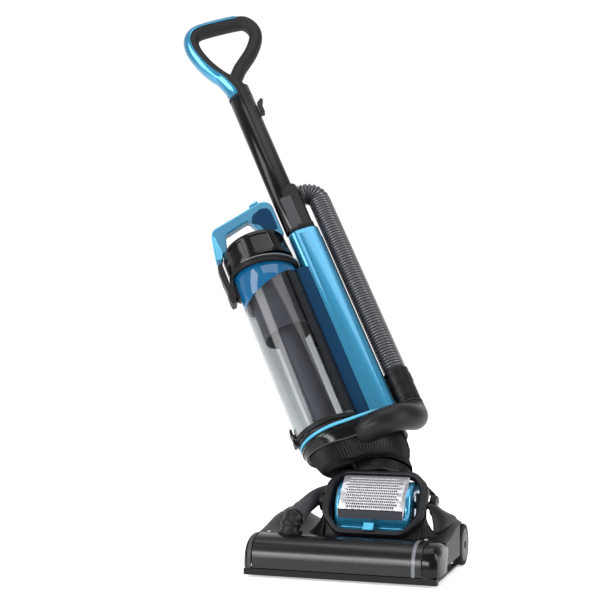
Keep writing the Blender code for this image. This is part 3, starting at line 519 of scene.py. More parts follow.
wing_top = smooth_line([(111, -22, 110), (117.5, -15, 107.5), (124, -6, 104), (127, 10, 98), (129, 28, 91),
                        (131, 44, 85)], 5)
wing_foot = smooth_line([(126, -38, 0), (133, -30, 0), (139, -16, 0), (143, 4, 0), (145, 22, 0),
                         (146, 40, 0)], 5)
wing_rows = []
for share in (0, 0.12, 0.3, 0.5, 0.7, 0.85, 1):
    wing_row = []
    for one, two in zip(wing_top, wing_foot):
        low = Vector((two.x, two.y, cover_height(two.x, two.y) - 1.5))
        p = one.lerp(low, share)
        wing_row.append((p.x + 4 * math.sin(math.pi * share), p.y, p.z + 3 * math.sin(math.pi * share)))
    wing_rows.append(wing_row)
wing = wall(piece("fender_wing_right", skin(wing_rows, closed_ring=False), HEAD), 2)
settle(wing, satin_black, "head", "matt_black", smooth=60)

for n, (x, y) in enumerate(((-132, -56), (118, -56), (-134, 20), (134, 20))):
    z = cover_height(x, y)
    head_screw = lathe(eased([(0, 0.9), (3.2, 0.9), (3.4, -1.5), (0, -1.5)], 0.6), 24)
    settle(piece(f"cover_screw_{n}", head_screw, moved(HEAD, x, y, z + 0.2)), steel, "head", "steel")


# ---- Suction elbow and short duct: a soft black PVC boot on the brush housing, with
# folds pressed in it, and a ribbed hose that runs back towards the neck.
def ribbed(line, radius, depth, pitch, sides=32, up=Vector((1, 0, 0))):
    """A corrugated tube: ribs of that pitch and depth along a smooth line, all in mm."""
    steps_per_rib = 6
    lengths = [0.0]
    for one, two in zip(line, line[1:]):
        lengths.append(lengths[-1] + (two - one).length)
    total = lengths[-1]
    count = max(2, int(total / pitch) * steps_per_rib)
    spots, radii = [], []
    k = 0
    for i in range(count + 1):
        at = total * i / count
        while k < len(line) - 2 and lengths[k + 1] < at:
            k += 1
        share = (at - lengths[k]) / max(lengths[k + 1] - lengths[k], 1e-6)
        spots.append(line[k].lerp(line[k + 1], share))
        wave = 0.5 + 0.5 * math.cos(math.tau * i / steps_per_rib)
        radii.append(radius - depth * (1 - wave ** 0.6))
    return sweep(spots, lambda i, s: circle(radii[i], sides), up=up)


pvc = moulded_abs("flexible_pvc", "141417", 0.38, 0.8, 0.08)
boot_line = smooth_line([(-92, -74, 62), (-92, -73.5, 70), (-91, -69, 79), (-89, -59, 85.5), (-87, -47, 90),
                         (-86, -36.5, 93)], 9)
mesh_grey = moulded_abs("braided_hose_cover", "3F3F44", 0.42, 1.0, 0.2)
cut_at = int(len(boot_line) * 0.62)
boot_rows = sweep(boot_line[:cut_at],
                  lambda i, s: circle(16.6 - 1.9 * (0.5 + 0.5 * math.cos(s * 17 + 1)), 40))
boot = piece("suction_boot", skin(boot_rows, caps=True), HEAD)
stub = skin(ribbed(boot_line[cut_at - 4:], 14.2, 1.3, 3.2), caps=True)
settle(piece("boot_hose_end", stub, HEAD), mesh_grey, "head", "hose_grey", smooth=60)
settle(boot, pvc, "head", "matt_black", "duct_elbow")
foot_ring = lathe(eased([(19, 3), (19, -2), (15.6, -2), (15.6, 3)], 1.2), 48)
settle(piece("boot_flange", foot_ring, moved(HEAD, -92, -74, 63)), satin_black, "head", "matt_black")
duct_line = smooth_line([(-85.6, -34, 93.8), (-84, -20, 97), (-83, 0, 100.5), (-82, 18, 103),
                         (-79, 36, 105.5), (-72, 51, 108), (-60, 61, 111), (-45, 66, 114), (-28, 68, 116),
                         (-15, 68.5, 117)], 8)
head_duct = piece("head_duct", skin(ribbed(duct_line, 13, 1.3, 3.2, up=Vector((0, 0, 1))), caps=True), HEAD)
head_duct.data.materials.append(mesh_grey)
head_duct.data.shade_smooth()
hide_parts("duct_hose")
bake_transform(head_duct)


# ---- Motor pod: a painted blue barrel lying across the head, the exhaust filter over its
# front, and the octagonal black surround that leans round it.
def flake_paint(name, colour, deep, rough=0.26):
    """Metallic lacquer: fine aluminium flake under a clear coat, brighter face-on."""
    made, tree, shader, place = new_finish(name)
    # Real flake is under 0.1 mm; drawn at 0.7 mm so that it shows at all.
    flake = add(tree, "ShaderNodeTexVoronoi", n0=place, Scale=1000 / 0.7)
    tone = add(tree, "ShaderNodeMapRange", n0=flake.outputs["Color"], n3=0.0, n4=0.35)
    mixed = add(tree, "ShaderNodeMixRGB", n0=tone.outputs[0], Color1=linear(colour), Color2=linear(deep))
    tree.links.new(mixed.outputs[0], shader.inputs["Base Color"])
    peel = add(tree, "ShaderNodeTexNoise", n0=place, Scale=1000 / 5, Detail=2.0)
    bump = add(tree, "ShaderNodeBump", Height=peel.outputs["Fac"], Strength=0.03, Distance=0.0004)
    tree.links.new(bump.outputs["Normal"], shader.inputs["Normal"])
    shader.inputs["Metallic"].default_value = 0.62
    shader.inputs["Roughness"].default_value = rough
    shader.inputs["Coat Weight"].default_value = 1.0
    shader.inputs["Coat Roughness"].default_value = 0.05
    return made


blue_lacquer = flake_paint("cyan_blue_lacquer", "2E8DB4", "10618F", 0.22)
blue_abs = moulded_abs("mid_blue_abs", "1A6C8E", 0.24, 1.2, 0.05, coat=0.4)
pale_blue = moulded_abs("pale_blue_abs", "4FA6C8", 0.3, 1.0, 0.05, coat=0.3)
POD = moved(HEAD, 30, 0, 92)
POD_SHELF = ((-110, -90, 0), (170, 90, 66), HEAD)
barrel_profile = eased([(30, 60), (43, 60), (46, 56), (46, -56), (43, -60), (30, -60), (30, -57), (42, -57),
                        (42, 57), (30, 57)], 2.5)
barrel = piece("pod_barrel", lathe(barrel_profile, 96), POD @ ALONG_X)
carve(barrel, block(*POD_SHELF))
settle(barrel, blue_lacquer, "head", "metallic_blue", "motor_housing", smooth=30)
SIDES = (("left", -1), ("right", 1))
for word, side in SIDES:
    end_disc = lathe(eased([(0, 1.6), (31, 1.6), (31, -1.6), (0, -1.6)], 0.8), 64)
    end_plate = piece(f"pod_end_{word}", end_disc, moved(HEAD, 30 + side * 58.4, 0, 92) @ ALONG_X)
    settle(carve(end_plate, block(*POD_SHELF)), blue_lacquer, "head", "metallic_blue")
    trunnion = lathe(eased([(0, 15), (6, 15), (6, -15), (0, -15)], 0.8), 32)
    settle(piece(f"trunnion_{word}", trunnion, moved(HEAD, 27 + side * 73, 10.4, 101.5) @ ALONG_X), coal_grey,
           "head", "matt_black")
apron = rounded_box((-20, -45, 60), (80, -36, 73), HEAD, "pod_apron", 2)
settle(apron, blue_lacquer, "head", "metallic_blue")

OCTAGON_OUT = (82, 57, 24, 34)
OCTAGON_IN = (68, 47.5, 14, 26)


def octagon(half_x, half_y, corner_x, corner_y):
    """An eight-sided outline whose top corners are cut flatter than its lower ones."""
    right = [(half_x - corner_x, half_y), (half_x, half_y - corner_y * 0.7), (half_x, -half_y + corner_y),
             (half_x - corner_x * 1.2, -half_y)]
    return [(-half_x + corner_x, half_y)] + right + [(-x, y) for x, y in right[:0:-1]]


LEAN = moved(HEAD, 30, -26, 106.5) @ Matrix.Rotation(math.radians(52), 4, "X")
outer_line = round_corners(octagon(*OCTAGON_OUT), 12, 6)
inner_line = round_corners(octagon(*OCTAGON_IN), 10, 6)
levels = [(0.0, -6.4), (0.0, 3.6), (0.06, 5.4), (0.2, 6.4), (0.62, 6.4), (0.8, 5.2), (1.0, 2.0), (1.0, -6.4)]
surround_rows = []
for share, z in levels + levels[:1]:
    surround_rows.append([(a[0] + (b[0] - a[0]) * share, a[1] + (b[1] - a[1]) * share, z)
                          for a, b in zip(outer_line, inner_line)])
settle(piece("pod_surround_moulding", skin(surround_rows), LEAN), coal_grey, "head", "matt_black",
       "pod_surround", smooth=50)

# The tub's skirt falls from the surround's lower half to the rear cover.
skirt_rows = [[] for _ in range(7)]
lower_edge = sorted((p for p in outer_line if p[1] < 16), key=lambda p: math.atan2(p[0], 20 - p[1]))
for x, y in lower_edge:
    top = LEAN @ (Vector((x * 0.995, y * 0.995, -5.5)) * MM)
    top = (top - head_at) / MM
    rise = min(1.0, max(0.0, (top.z - 62) / 40))
    foot_x = 30 + (top.x - 30) * (1 + 0.34 * rise)
    foot_y = max(-64.5, top.y - 5 - 6 * rise)
    foot_z = cover_height(foot_x, foot_y) - 1.5
    for level, row in enumerate(skirt_rows):
        share = level / 6
        row.append((top.x + (foot_x - top.x) * share ** 1.5, top.y + (foot_y - top.y) * share,
                    top.z + (min(foot_z, top.z - 1) - top.z) * share ** 0.8))
tub = skin(skirt_rows, closed_ring=False)
settle(wall(piece("pod_tub_skirt", tub, HEAD), 1.6), satin_black, "head", "matt_black", smooth=60)

for word, far_x, near_x in (("left", -48, -31.5), ("right", 108, 91.5)):
    inward = 2 if word == "left" else -2
    cheek_line = [(far_x, -60), (far_x, -8), (near_x, -8), (near_x, -10), (far_x + inward, -10),
                  (far_x + inward, -60)]
    cheek = bar(cheek_line, 57, 124, HEAD, f"tub_cheek_{word}", axis="Z")
    carve(cheek, block((-120, -120, -4.5), (120, 120, 80), LEAN))
    settle(cheek, satin_black, "head", "matt_black")

pleat_rows = []
for i in range(141):
    angle = math.radians(96 + 78 * i / 140)
    radius = 47.6 + 1.5 * (0.5 + 0.5 * math.cos(i * math.pi / 2))
    pleat_rows.append([(x, radius * math.cos(angle), radius * math.sin(angle)) for x in (-45.5, 0, 45.5)])
filter_paper = moulded_abs("pleated_filter_paper", "D8D8D0", 0.9, 0.7, 0.5)
painted_shade_black = moulded_abs("filter_painted_shade_black", "0B0B0C", 0.9, 0.7, 0.5)
# The exhaust filter is coloured black as painted shade, so that the grille's holes read dark in front of it.
settle(wall(piece("pleated_filter", skin(pleat_rows, closed_ring=False), POD), 0.6), painted_shade_black, "head",
       "filter_white", "exhaust_filter", smooth=20)


# ---- Exhaust filter cover: a silver-painted shell curved round the pod, with a punched
# field of small round holes and a polished black strip along its lower edge.
def silver_paint(name, colour, rough):
    """Silver lacquer on ABS: fine flake reads as a soft even sheen with faint specks."""
    made = flake_paint(name, colour, "A9ADB1", rough)
    made.node_tree.nodes["Principled BSDF"].inputs["Metallic"].default_value = 0.45
    return made


silver = silver_paint("silver_lacquer", "B2B4B8", 0.36)
black_chrome = drawn_steel("black_chrome_plate", "34363A", 0.12, 2)
HOLE_PITCH, HOLE_R, HOLE_STRETCH, ROWS, COLUMNS = 3.25, 1.2, 1.35, 11, 25
OUT_R, START, STOP, HALF_WIDE = 54.4, 92, 187, 53


def on_shell(x, angle, radius=OUT_R):
    """A point on the pod's round face, angle in degrees from its back."""
    turn = math.radians(angle)
    return (x, radius * math.cos(turn), radius * math.sin(turn))


# The plate is laid out flat, x by distance round the shell, punched, and then rolled.
reach = math.radians(STOP - START - 2) * OUT_R / 2
half = HALF_WIDE - 0.6
border = round_corners([(-half, -reach), (half, -reach), (half, reach), (-half, reach)], 9, 6)
row_at = [math.radians(168 - math.degrees(math.asin(0.02 + 0.081 * j)) - (START + STOP) / 2) * OUT_R
          for j in range(ROWS)]
centres = [((i - (COLUMNS - 1) / 2 + 0.5 * (j % 2)) * HOLE_PITCH - 0.8, row_at[j]) for j in range(ROWS)
           for i in range(COLUMNS)]
last = COLUMNS - 1
centres = [p for n, p in enumerate(centres) if (n // COLUMNS, n % COLUMNS) not in
           ((0, 0), (0, last), (ROWS - 1, 0), (ROWS - 1, last))]
flat = [Vector(p) for p in border]
edges = [(i, (i + 1) % len(border)) for i in range(len(border))]
for x, y in centres:
    first_at = len(flat)
    flat += [Vector((x + a, y + b * HOLE_STRETCH)) for a, b in circle(HOLE_R, 10)]
    edges += [(first_at + k, first_at + (k + 1) % 10) for k in range(10)]
for j in range(1, 24):
    y = -reach + 2 * reach * j / 24
    for x in np.linspace(-half + 3, half - 3, 12):
        if all((x - cx) ** 2 + ((y - cy) / HOLE_STRETCH) ** 2 > (HOLE_R + 0.4) ** 2 for cx, cy in centres):
            flat.append(Vector((float(x), y)))
points, _, triangles, *_ = delaunay_2d_cdt(flat, edges, [], 0, 1e-4)
panel_bm = bmesh.new()
rolled = [panel_bm.verts.new(on_shell(p.x, (START + STOP) / 2 + math.degrees(p.y / OUT_R))) for p in points]
for corners in triangles:
    middle = sum((points[i] for i in corners), Vector((0, 0))) / 3
    in_hole = any((middle.x - x) ** 2 + ((middle.y - y) / HOLE_STRETCH) ** 2 < (HOLE_R * 0.96) ** 2
                  for x, y in centres)
    outside = abs(middle.x) > half or abs(middle.y) > reach
    if not in_hole and not outside:
        panel_bm.faces.new([rolled[i] for i in corners])
for vert in [v for v in panel_bm.verts if not v.link_faces]:
    panel_bm.verts.remove(vert)
grille = wall(piece("filter_grille", panel_bm, POD), 2.3)
settle(grille, silver, "filter_cover", "silver", "filter_cover", smooth=35)
strip_line = ((STOP - 0.6, 54.2), (STOP - 1, 55.2), (STOP - 6, 55.5), (STOP - 15, 55.4), (STOP - 16, 54.2))
strip_rows = [[on_shell(x, a, r) for a, r in strip_line] for x in (-HALF_WIDE + 2, 0, HALF_WIDE - 2)]
strip = skin(strip_rows, caps=True)
settle(piece("grille_strip", strip, POD), black_chrome, "filter_cover", "gloss_black", smooth=25)
tab = rounded_box((-8, -53.6, 10.2), (8, -41.4, 13.8), LEAN, "grille_tab", 1.2)
settle(tab, pale_blue, "cover_tab", "light_blue", "cover_tab")


# ---- Foot pedal: a ribbed charcoal ABS lever at the back left that frees the neck.
pedal_at = moved(HEAD, -88, 84, 34)
pedal = rounded_box((-14.8, -5.8, -4.8), (14.8, 35.8, 4.4), pedal_at, "neck_pedal", 2.4, 4)
carve(pedal)
settle(pedal, coal_grey, "pedal", "dark_grey", "release_pedal")
for n in range(6):
    grip = rounded_box((-11.5, 10 + n * 4, 4.0), (11.5, 12 + n * 4, 5.0), pedal_at, f"pedal_rib_{n}", 0.4, 2)
    settle(grip, blackened, "pedal", "rubber")


# ---- Yoke: the two black arms that hang on the pod's pins and carry the neck bearing,
# moulded as one bow, with the bearing's ribbed sleeve on top.
def unit(values):
    return Vector(values).normalized()


def basis(x, y, z, origin):
    """A frame from its three axes and its origin."""
    matrix = Matrix((x, y, z)).transposed().to_4x4()
    matrix.translation = origin
    return matrix


neck_axis = unit(joints["swivel"]["axis"])
YOKE = basis(Vector((1, 0, 0)), neck_axis.cross(Vector((1, 0, 0))), neck_axis,
             Vector(joints["recline"]["pos_m"]))
for word, side in SIDES:
    shape = [(92, -14), (92, 16), (66, 39.5), (52, 49), (46, 58), (44, 48), (62, 36), (85.5, 13), (85.5, -14)]
    shape = round_corners([(side * x, z) for x, z in shape], 5, 5)
    arm = soften(bar(shape, -3, 15, YOKE, f"yoke_arm_{word}", axis="Y"), 1.4, 3, 50)
    settle(arm, satin_black, "yoke", "matt_black", "yoke_frame_arms")
    pad = lathe(eased([(0, 5.2), (15.6, 5.2), (16, -5), (0, -5)], 1.6), 56)
    spot = moved(YOKE, side * 89, 0, 0) @ Matrix.Rotation(math.radians(90 * side), 4, "Y")
    settle(piece(f"yoke_boss_{word}", pad, spot), satin_black, "yoke", "matt_black")
    bolt = lathe([(0, 1.2), (4.6, 1.2), (5, 0.6), (5, -2), (0, -2)], 6)
    settle(piece(f"yoke_pin_{word}", bolt, moved(spot, 0, 0, 5.4)), steel, "yoke", "steel", smooth=20)
sleeve_rows = []
for z, radius, groove in ((46.0, 42.4, 1.3), (47.0, 43.6, 1.3), (52.8, 43.6, 1.3), (58.6, 43.6, 1.3),
                          (59.5, 42.6, 1.3), (59.5, 30.2, 0), (46.0, 30.2, 0)):
    grooved = [radius - groove * (k % 4 in (0, 1)) for k in range(240)]
    sleeve_rows.append([(r * x, r * y, z) for r, (x, y) in zip(grooved, circle(1, 240))])
sleeve_rows.append(sleeve_rows[0])
settle(piece("bearing_sleeve", skin(sleeve_rows), YOKE), satin_black, "yoke", "matt_black", smooth=20)


# ---- Body: the upright stands on a round dish and turns in the sleeve. The dish is gloss
# black, with a pale blue ring let in under the dust bin.
y_b = unit(joints["cord_hook_turn"]["axis"])
z_b = unit(joints["lid_lift"]["axis"])
BODY = basis(y_b.cross(z_b), y_b, z_b,
             Vector(joints["cord_hook_turn"]["pos_m"]) - 0.051 * y_b - 0.715 * z_b)
BIN = moved(BODY, 0, -60, 0)
tilt = math.radians(29)


DISH_POINTS = 96


def stadium(front, back, radius, height):
    """A plan outline: two half circles of radius, centred at front and back."""
    ring = []
    for x, y in circle(radius, DISH_POINTS):
        z = height(y + (front + back) / 2) if callable(height) else height
        ring.append(Vector((x, y + (back if y > 0 else front), z)))
    return ring


def neck_ring(radius, lift):
    """A ring on the neck's own plane, which leans under the body."""
    return [Vector((x, y * math.cos(tilt) + lift * math.sin(tilt),
                    -14 - y * math.sin(tilt) + lift * math.cos(tilt)))
            for x, y in circle(radius, DISH_POINTS)]


dish_keys = [neck_ring(46, 1.3), stadium(-44, 0, 46.5, lambda y: -8 - 0.25 * y),
             stadium(-50, 0, 53, lambda y: 4 - 0.29 * y), stadium(-51.4, -2.6, 59, lambda y: 36 - 0.1 * y),
             stadium(-52, -4, 61, 52.0), stadium(-52, -4, 61, 55)]
columns = [smooth_line([row[k] for row in dish_keys], 4) for k in range(DISH_POINTS)]
count_up = len(columns[0])
step_at = int(count_up * 0.56)
dish_rows = [[column[i] for column in columns] for i in range(step_at, count_up)]


def pulled(row, distance):
    """A row of the dish moved towards its middle by distance."""
    return [p - Vector((p.x, p.y + 24, 0)).normalized() * distance for p in row]


lip = [pulled(dish_rows[0], 5.5), pulled(dish_rows[0], 4.0), pulled(dish_rows[0], 0.8)]
dish = wall(piece("body_dish", skin(lip + dish_rows), BODY), 2.4)
# The grey bead on the dish's lip is partly the real lip and partly a painted highlight: its grey stands for
# the light line along the dish's rim.
rim_highlight_line = [p + Vector((0, 0, -0.4)) for p in pulled(dish_rows[0], -0.2)]
rim_highlight_rows = sweep(rim_highlight_line, lambda i, s: circle(1.15, 8), closed=True, up=Vector((0, 0, 1)))
settle(piece("dish_rim_highlight_bead", skin(rim_highlight_rows), BODY), hub_grey, "upright", "dark_grey")
settle(dish, gloss_black, "upright", "gloss_black", "base_dish", smooth=55)
for name, finish, slot, nodes, outline in (
        ("body_deck", satin_black, "matt_black", ["base_deck"],
         ((40, 61.6), (57, 61.9), (58, 61.0), (58, 59.1), (40, 59.1))),
        ("bin_ring", pale_blue, "light_blue", ["accent_ring"],
         ((61.6, 57.7), (62.5, 58.6), (62.5, 61.4), (61.8, 62.3), (59.2, 62.3), (58.6, 61.6), (58.6, 57.7),
          (61.6, 57.7))),
        ("dish_bead", satin_black, "matt_black", [],
         ((61.7, 49.6), (61.7, 51.0), (60.5, 51.0), (60.5, 49.6), (61.7, 49.6)))):
    ring = piece(name, skin([stadium(-52, -4, r, z) for r, z in outline]), BODY)
    settle(ring, finish, "upright", slot, *nodes)
pleat_count = 84
low_rows = []
for share in (0.0, 0.06, 0.18, 0.3, 0.42, 0.54, 0.6):
    loop_at = []
    for column in columns:
        place_on = share * (len(column) - 1)
        loop_at.append(column[int(place_on)].lerp(column[int(place_on) + 1], place_on - int(place_on)))
    walked = [0.0]
    for one, two in zip(loop_at, loop_at[1:] + loop_at[:1]):
        walked.append(walked[-1] + (two - one).length)
    row, lower = [], 0
    for k in range(pleat_count * 6):
        along = walked[-1] * k / (pleat_count * 6)
        while walked[lower + 1] < along:
            lower += 1
        share_on = (along - walked[lower]) / (walked[lower + 1] - walked[lower])
        p = loop_at[lower].lerp(loop_at[(lower + 1) % DISH_POINTS], share_on)
        out = Vector((p.x, p.y + 24, 0)).normalized()
        fold = 0.0 if share in (0.0, 0.6) else 2.1 * (0.5 + 0.5 * math.cos(math.tau * k / 6))
        row.append(p + out * (fold - 5.0 * min(1.0, share / 0.2)))
    low_rows.append(row)
settle(piece("neck_bellows", skin(low_rows), BODY), satin_black, "upright", "rubber", smooth=20)
turn_plane = moved(BODY, 0, 0, -14) @ Matrix.Rotation(-tilt, 4, "X")
collar = lathe([(36, 0.6), (36, 4), (37.2, 4.6), (37.2, 5.8), (36, 6.4), (36, 9.6), (35, 11), (30.4, 11),
                (30.4, 0.6)], 96)
settle(piece("neck_collar", collar, turn_plane), gloss_black, "upright", "gloss_black", "swivel_collar",
       smooth=25)


# ---- Column: a metallic blue channel up the middle that carries the suction riser, with
# a back cover on three screws. A saddle in dark navy, painted shade for the column's
# shaded face beside the bin, and a charcoal cradle hold the dust bin, and the black
# socket block on top, with a grey strip each side, takes the hand tube.
def rounded_outline(half, low, high, radius, steps=10):
    """A rounded rectangle, as wide as twice half."""
    return round_corners([(-half, low), (half, low), (half, high), (-half, high)], radius, steps)


column_wall = rounded_outline(23, 2, 58, 19, 12)
levels = [(63.0, 1.2), (64.0, 0.2), (66, 0), (250, 0), (437, 0), (439, 0.3), (440, 1.2)]
# Dark navy is painted shade: the column's blue made dark for its shaded face beside the bin, with little
# shine so that it stays dark.
painted_shade_navy = moulded_abs("painted_shade_navy_abs", "072F4C", 0.5, 1.2, 0.04, shine=0.08)


def bin_arc(radius, turns):
    """Points at radius from the dust bin's middle, in the body's frame."""
    return [(radius * math.cos(math.radians(a)), -60 + radius * math.sin(math.radians(a))) for a in turns]


saddle_line = bin_arc(55.7, range(117, 62, -3))
saddle_line += [(25.6, -8), (24.4, 6), (22.5, 12), (-22.5, 12), (-24.4, 6), (-25.6, -8)]
saddle = soften(bar(saddle_line, 71.5, 366, BODY, "column_saddle", axis="Z"), 0.8, 2, 50)
settle(saddle, painted_shade_navy, "upright", "metallic_blue", smooth=40)
cradle = bar(bin_arc(55.2, range(132, 33, -3)) + bin_arc(56.0, range(33, 133, 3)), 84, 358, BODY,
             "column_cradle", axis="Z")
settle(cradle, coal_grey, "upright", "dark_grey", smooth=40)


def shrunk(outline, pull, z, centre_y):
    """An outline at height z, drawn in by pull on every side."""
    return [(x - math.copysign(min(pull, abs(x)), x), y - math.copysign(pull, y - centre_y), z)
            for x, y in outline]


column_rows = [shrunk(column_wall, pull, z, 30) for z, pull in levels]
blue_column = wall(piece("column_shell", skin(column_rows), BODY), 2.5)
carve(blue_column, block((-13, 52, 90), (13, 70, 420), BODY))
settle(blue_column, blue_lacquer, "upright", "metallic_blue", "spine_shell", smooth=40)
back_rows = [(-12.5, 55.6), (12.5, 55.6), (12.5, 57.2), (11.8, 57.9), (-11.8, 57.9), (-12.5, 57.2)]
back_cover = bar(back_rows, 90.5, 419.5, BODY, "column_back", axis="Z")
settle(soften(back_cover, 0.5, 2), coal_grey, "upright", "dark_grey", "spine_back_cover")
TO_BACK = Matrix.Rotation(math.radians(-90), 4, "X")
for n, z in enumerate((110, 255, 400)):
    spot = moved(BODY, 0, 57.9, z) @ TO_BACK
    cap = lathe([(0, 0.2), (1.4, 0.2), (1.8, 0.9), (3.4, 0.9), (3.8, 0.4), (3.8, -1.5), (0, -1.5)], 32)
    settle(piece(f"column_screw_{n}", cap, spot), steel, "upright", "steel", smooth=25)
for word, side in SIDES:
    rail_line = ((23.2, 20), (23.2, 45), (22.6, 46), (22.4, 46), (22.4, 19), (22.6, 19))
    rail = bar([(side * x, y) for x, y in rail_line], 72, 432, BODY, f"column_rail_{word}", axis="Z")
    settle(rail, blue_lacquer, "upright", "metallic_blue")
hook_line = round_corners([(-21, 20), (-39, 20), (-39, 25), (-27, 25.5), (-27, 28.5), (-39, 29), (-39, 34),
                           (-21, 34)], 1.6, 4)
lower_hook = soften(bar(hook_line, 196, 206, BODY, "cord_hook_low", axis="Z"), 0.8, 2)
settle(lower_hook, coal_grey, "upright", "matt_black")
gland = lathe(eased([(0, 9), (4, 9), (6, 5), (6, 0), (0, 0)], 0.8), 40)
gland_at = moved(BODY, -23.3, 30, 96) @ Matrix.Rotation(math.radians(-90), 4, "Y")
settle(piece("cord_entry", gland, gland_at), blackened, "upright", "rubber", "cord_gland")


def tube_cutter(line, radius, where):
    """A round cutter along a line."""
    return piece("cutter", skin(sweep(smooth_line(line, 6), lambda i, s: circle(radius, 40),
                                      up=Vector((0, 0, 1))), caps=True), where)


cap_outline = rounded_outline(22.5, 18, 52.6, 9, 8)
socket_rows = [shrunk(cap_outline, pull, z, 35) for z, pull in (
    (440.4, 0.8), (441.4, 0), (450, 0), (452, 1.1), (520, 1.1), (533, 2.0), (537, 4.2), (538, 6.5))]
socket_block = piece("socket_block", skin(socket_rows, caps=True), BODY)
carve(socket_block, tube_cutter([(0, 36, 517), (0, 60, 517)], 17, BODY))
ledge = soften(bar(rounded_outline(22.3, 6, 30, 8, 8), 440.4, 446, BODY, "socket_ledge", axis="Z"), 0.8, 2)
settle(ledge, satin_black, "upright", "matt_black")
bore_rows = [[(17.2 * x, 24 + 22.2 * y, z) for x, y in circle(1, 72)] for z in (447.4, 560)]
carve(socket_block, piece("cutter", skin(bore_rows, caps=True), BODY))
settle(socket_block, satin_black, "upright", "matt_black", "spine_cap", smooth=50)
for word, side in SIDES:
    slat_line = round_corners([(side * x, y) for x, y in ((17.6, 12), (22, 15), (22, 33), (17.6, 30))],
                              1.5, 4)
    slat = bar(slat_line, 446.4, 512, BODY, f"strip_{word}", axis="Z")
    settle(soften(slat, 0.8, 2), hub_grey, "upright", "dark_grey")

rocker_side = [(-2.6, -11.6), (-3.0, 0), (-2.2, 11.6), (1.2, 11.8), (1.2, -11.8)]
rocker = bar(rocker_side, -6.8, 6.8, moved(BODY, -25.5, 44, 470), "power_rocker", axis="Y")
settle(soften(rocker, 0.7, 3), satin_black, "power_switch", "matt_black", "power_switch")


# ---- Hand tube: two oval half shells of ABS, gloss black in front and satin grey
# behind, screwed together along their seam, with a swivelling cord hook on the back.
def oval_half(start, stop, grow):
    """Part of the tube's oval, between two angles in degrees."""
    return [((17 + grow) * math.cos(math.radians(a)), 24 + (22 + grow) * math.sin(math.radians(a)))
            for a in np.linspace(start, stop, 49)]


for word, start, stop, top, finish, slot in (("front", 180.8, 359.2, 752, gloss_black, "gloss_black"),
                                             ("back", 0.8, 179.2, 778, coal_grey, "dark_grey")):
    shell_rows = [[(x, y, z) for x, y in oval_half(start, stop, grow)]
                  for z, grow in ((448, -0.6), (448.8, 0), (600, 0), (top - 0.8, 0), (top, -0.6))]
    half_shell = wall(piece(f"tube_shell_{word}", skin(shell_rows, closed_ring=False), BODY), 2.2)
    settle(half_shell, finish, "upright", slot, f"tube_{word}", smooth=50)
for n, z in enumerate((560, 690)):
    spot = moved(BODY, 0, 45.9, z) @ TO_BACK
    cap = lathe([(0, -0.6), (2.2, -0.6), (2.2, 0.5), (4.2, 0.5), (4.4, 0), (4.4, -1.5), (0, -1.5)], 32)
    settle(piece(f"tube_screw_{n}", cap, spot), steel, "upright", "steel", smooth=25)
hook_outline = round_corners([(-4, -6), (4, -6), (4, 14), (10, 22), (6, 26), (-4, 18)], 2, 4)
hook = soften(bar(hook_outline, -7, 7, moved(BODY, 0, 51, 715), "cord_hook_high"), 1.2, 3, 50)
settle(hook, coal_grey, "cord_hook", "matt_black", "cord_hook_upper")


# ---- Handle: a closed loop in two shots, a soft black grip inside and a blue outer shell
# that wraps the front and top of the loop.
loop = [(20, 798), (-6, 836), (-20, 880), (-20, 910), (-8, 926), (16, 929), (68, 926), (88, 920), (98, 900),
        (95, 878), (76, 850), (46, 822)]
grip_line = smooth_line([(0, y, z) for y, z in loop], 9, closed=True)


def grip_section(wide, deep):
    """A squared-off oval, as a hand grip is in section."""
    power = 2.4
    return [(wide * math.copysign(abs(x) ** (2 / power), x), deep * math.copysign(abs(y) ** (2 / power), y))
            for x, y in circle(1, 36)]


soft_grip = moulded_abs("soft_touch_grip", "19191B", 0.55, 0.7, 0.35)
grip = piece("hand_grip", skin(sweep(grip_line, lambda i, s: grip_section(14.4, 12.4), closed=True)), BODY)
settle(grip, soft_grip, "upright", "matt_black", "handle_core", smooth=60)
stem_rows = []
for z, wide, deep, shift in ((752.6, 17, 22, 24), (753.6, 17.3, 22.3, 24), (772, 16.6, 20.5, 23),
                             (790, 15.6, 17.5, 21), (806, 14.6, 15.5, 19)):
    stem_rows.append([(wide * x, shift + deep * y, z) for x, y in circle(1, 56)])
settle(piece("handle_stem", skin(stem_rows, caps=True), BODY), soft_grip, "upright", "matt_black", smooth=60)
fine = smooth_line([(0, y, z) for y, z in loop], 3, closed=True)
shell_route = smooth_line([(0, 22, 757), (0, 21, 775)] + fine[1:20], 4)
heart = Vector((0, 38, 880))


def shell_section(i, share):
    """The outer shell's section: an open arc with a wall, narrowed at the end."""
    radius = 20.5 + (17.0 - 20.5) * min(1.0, max(0.0, i / 10))
    close = 1 - 0.45 * max(0.0, (share - 0.94) / 0.06) ** 2
    arc = [math.radians(a) for a in np.linspace(-80, 80, 33)]
    return [(r * 0.97 * math.sin(a) * close, r * math.cos(a))
            for r, turns in ((radius, arc), (radius - 2.2, arc[::-1])) for a in turns]


halfway = len(shell_route) // 2
probe = sweep(shell_route, lambda i, s: [(0, 10)])[halfway][0]
facing = 1 if (probe - heart).length > (shell_route[halfway] - heart).length else -1
cover_rows = sweep(shell_route, lambda i, s: [(a, b * facing) for a, b in shell_section(i, s)])
blue_shell = piece("handle_cover", skin(cover_rows, caps=True), BODY)
settle(soften(blue_shell, 0.5, 2, 60), blue_lacquer, "upright", "metallic_blue", "handle_shell", smooth=50)


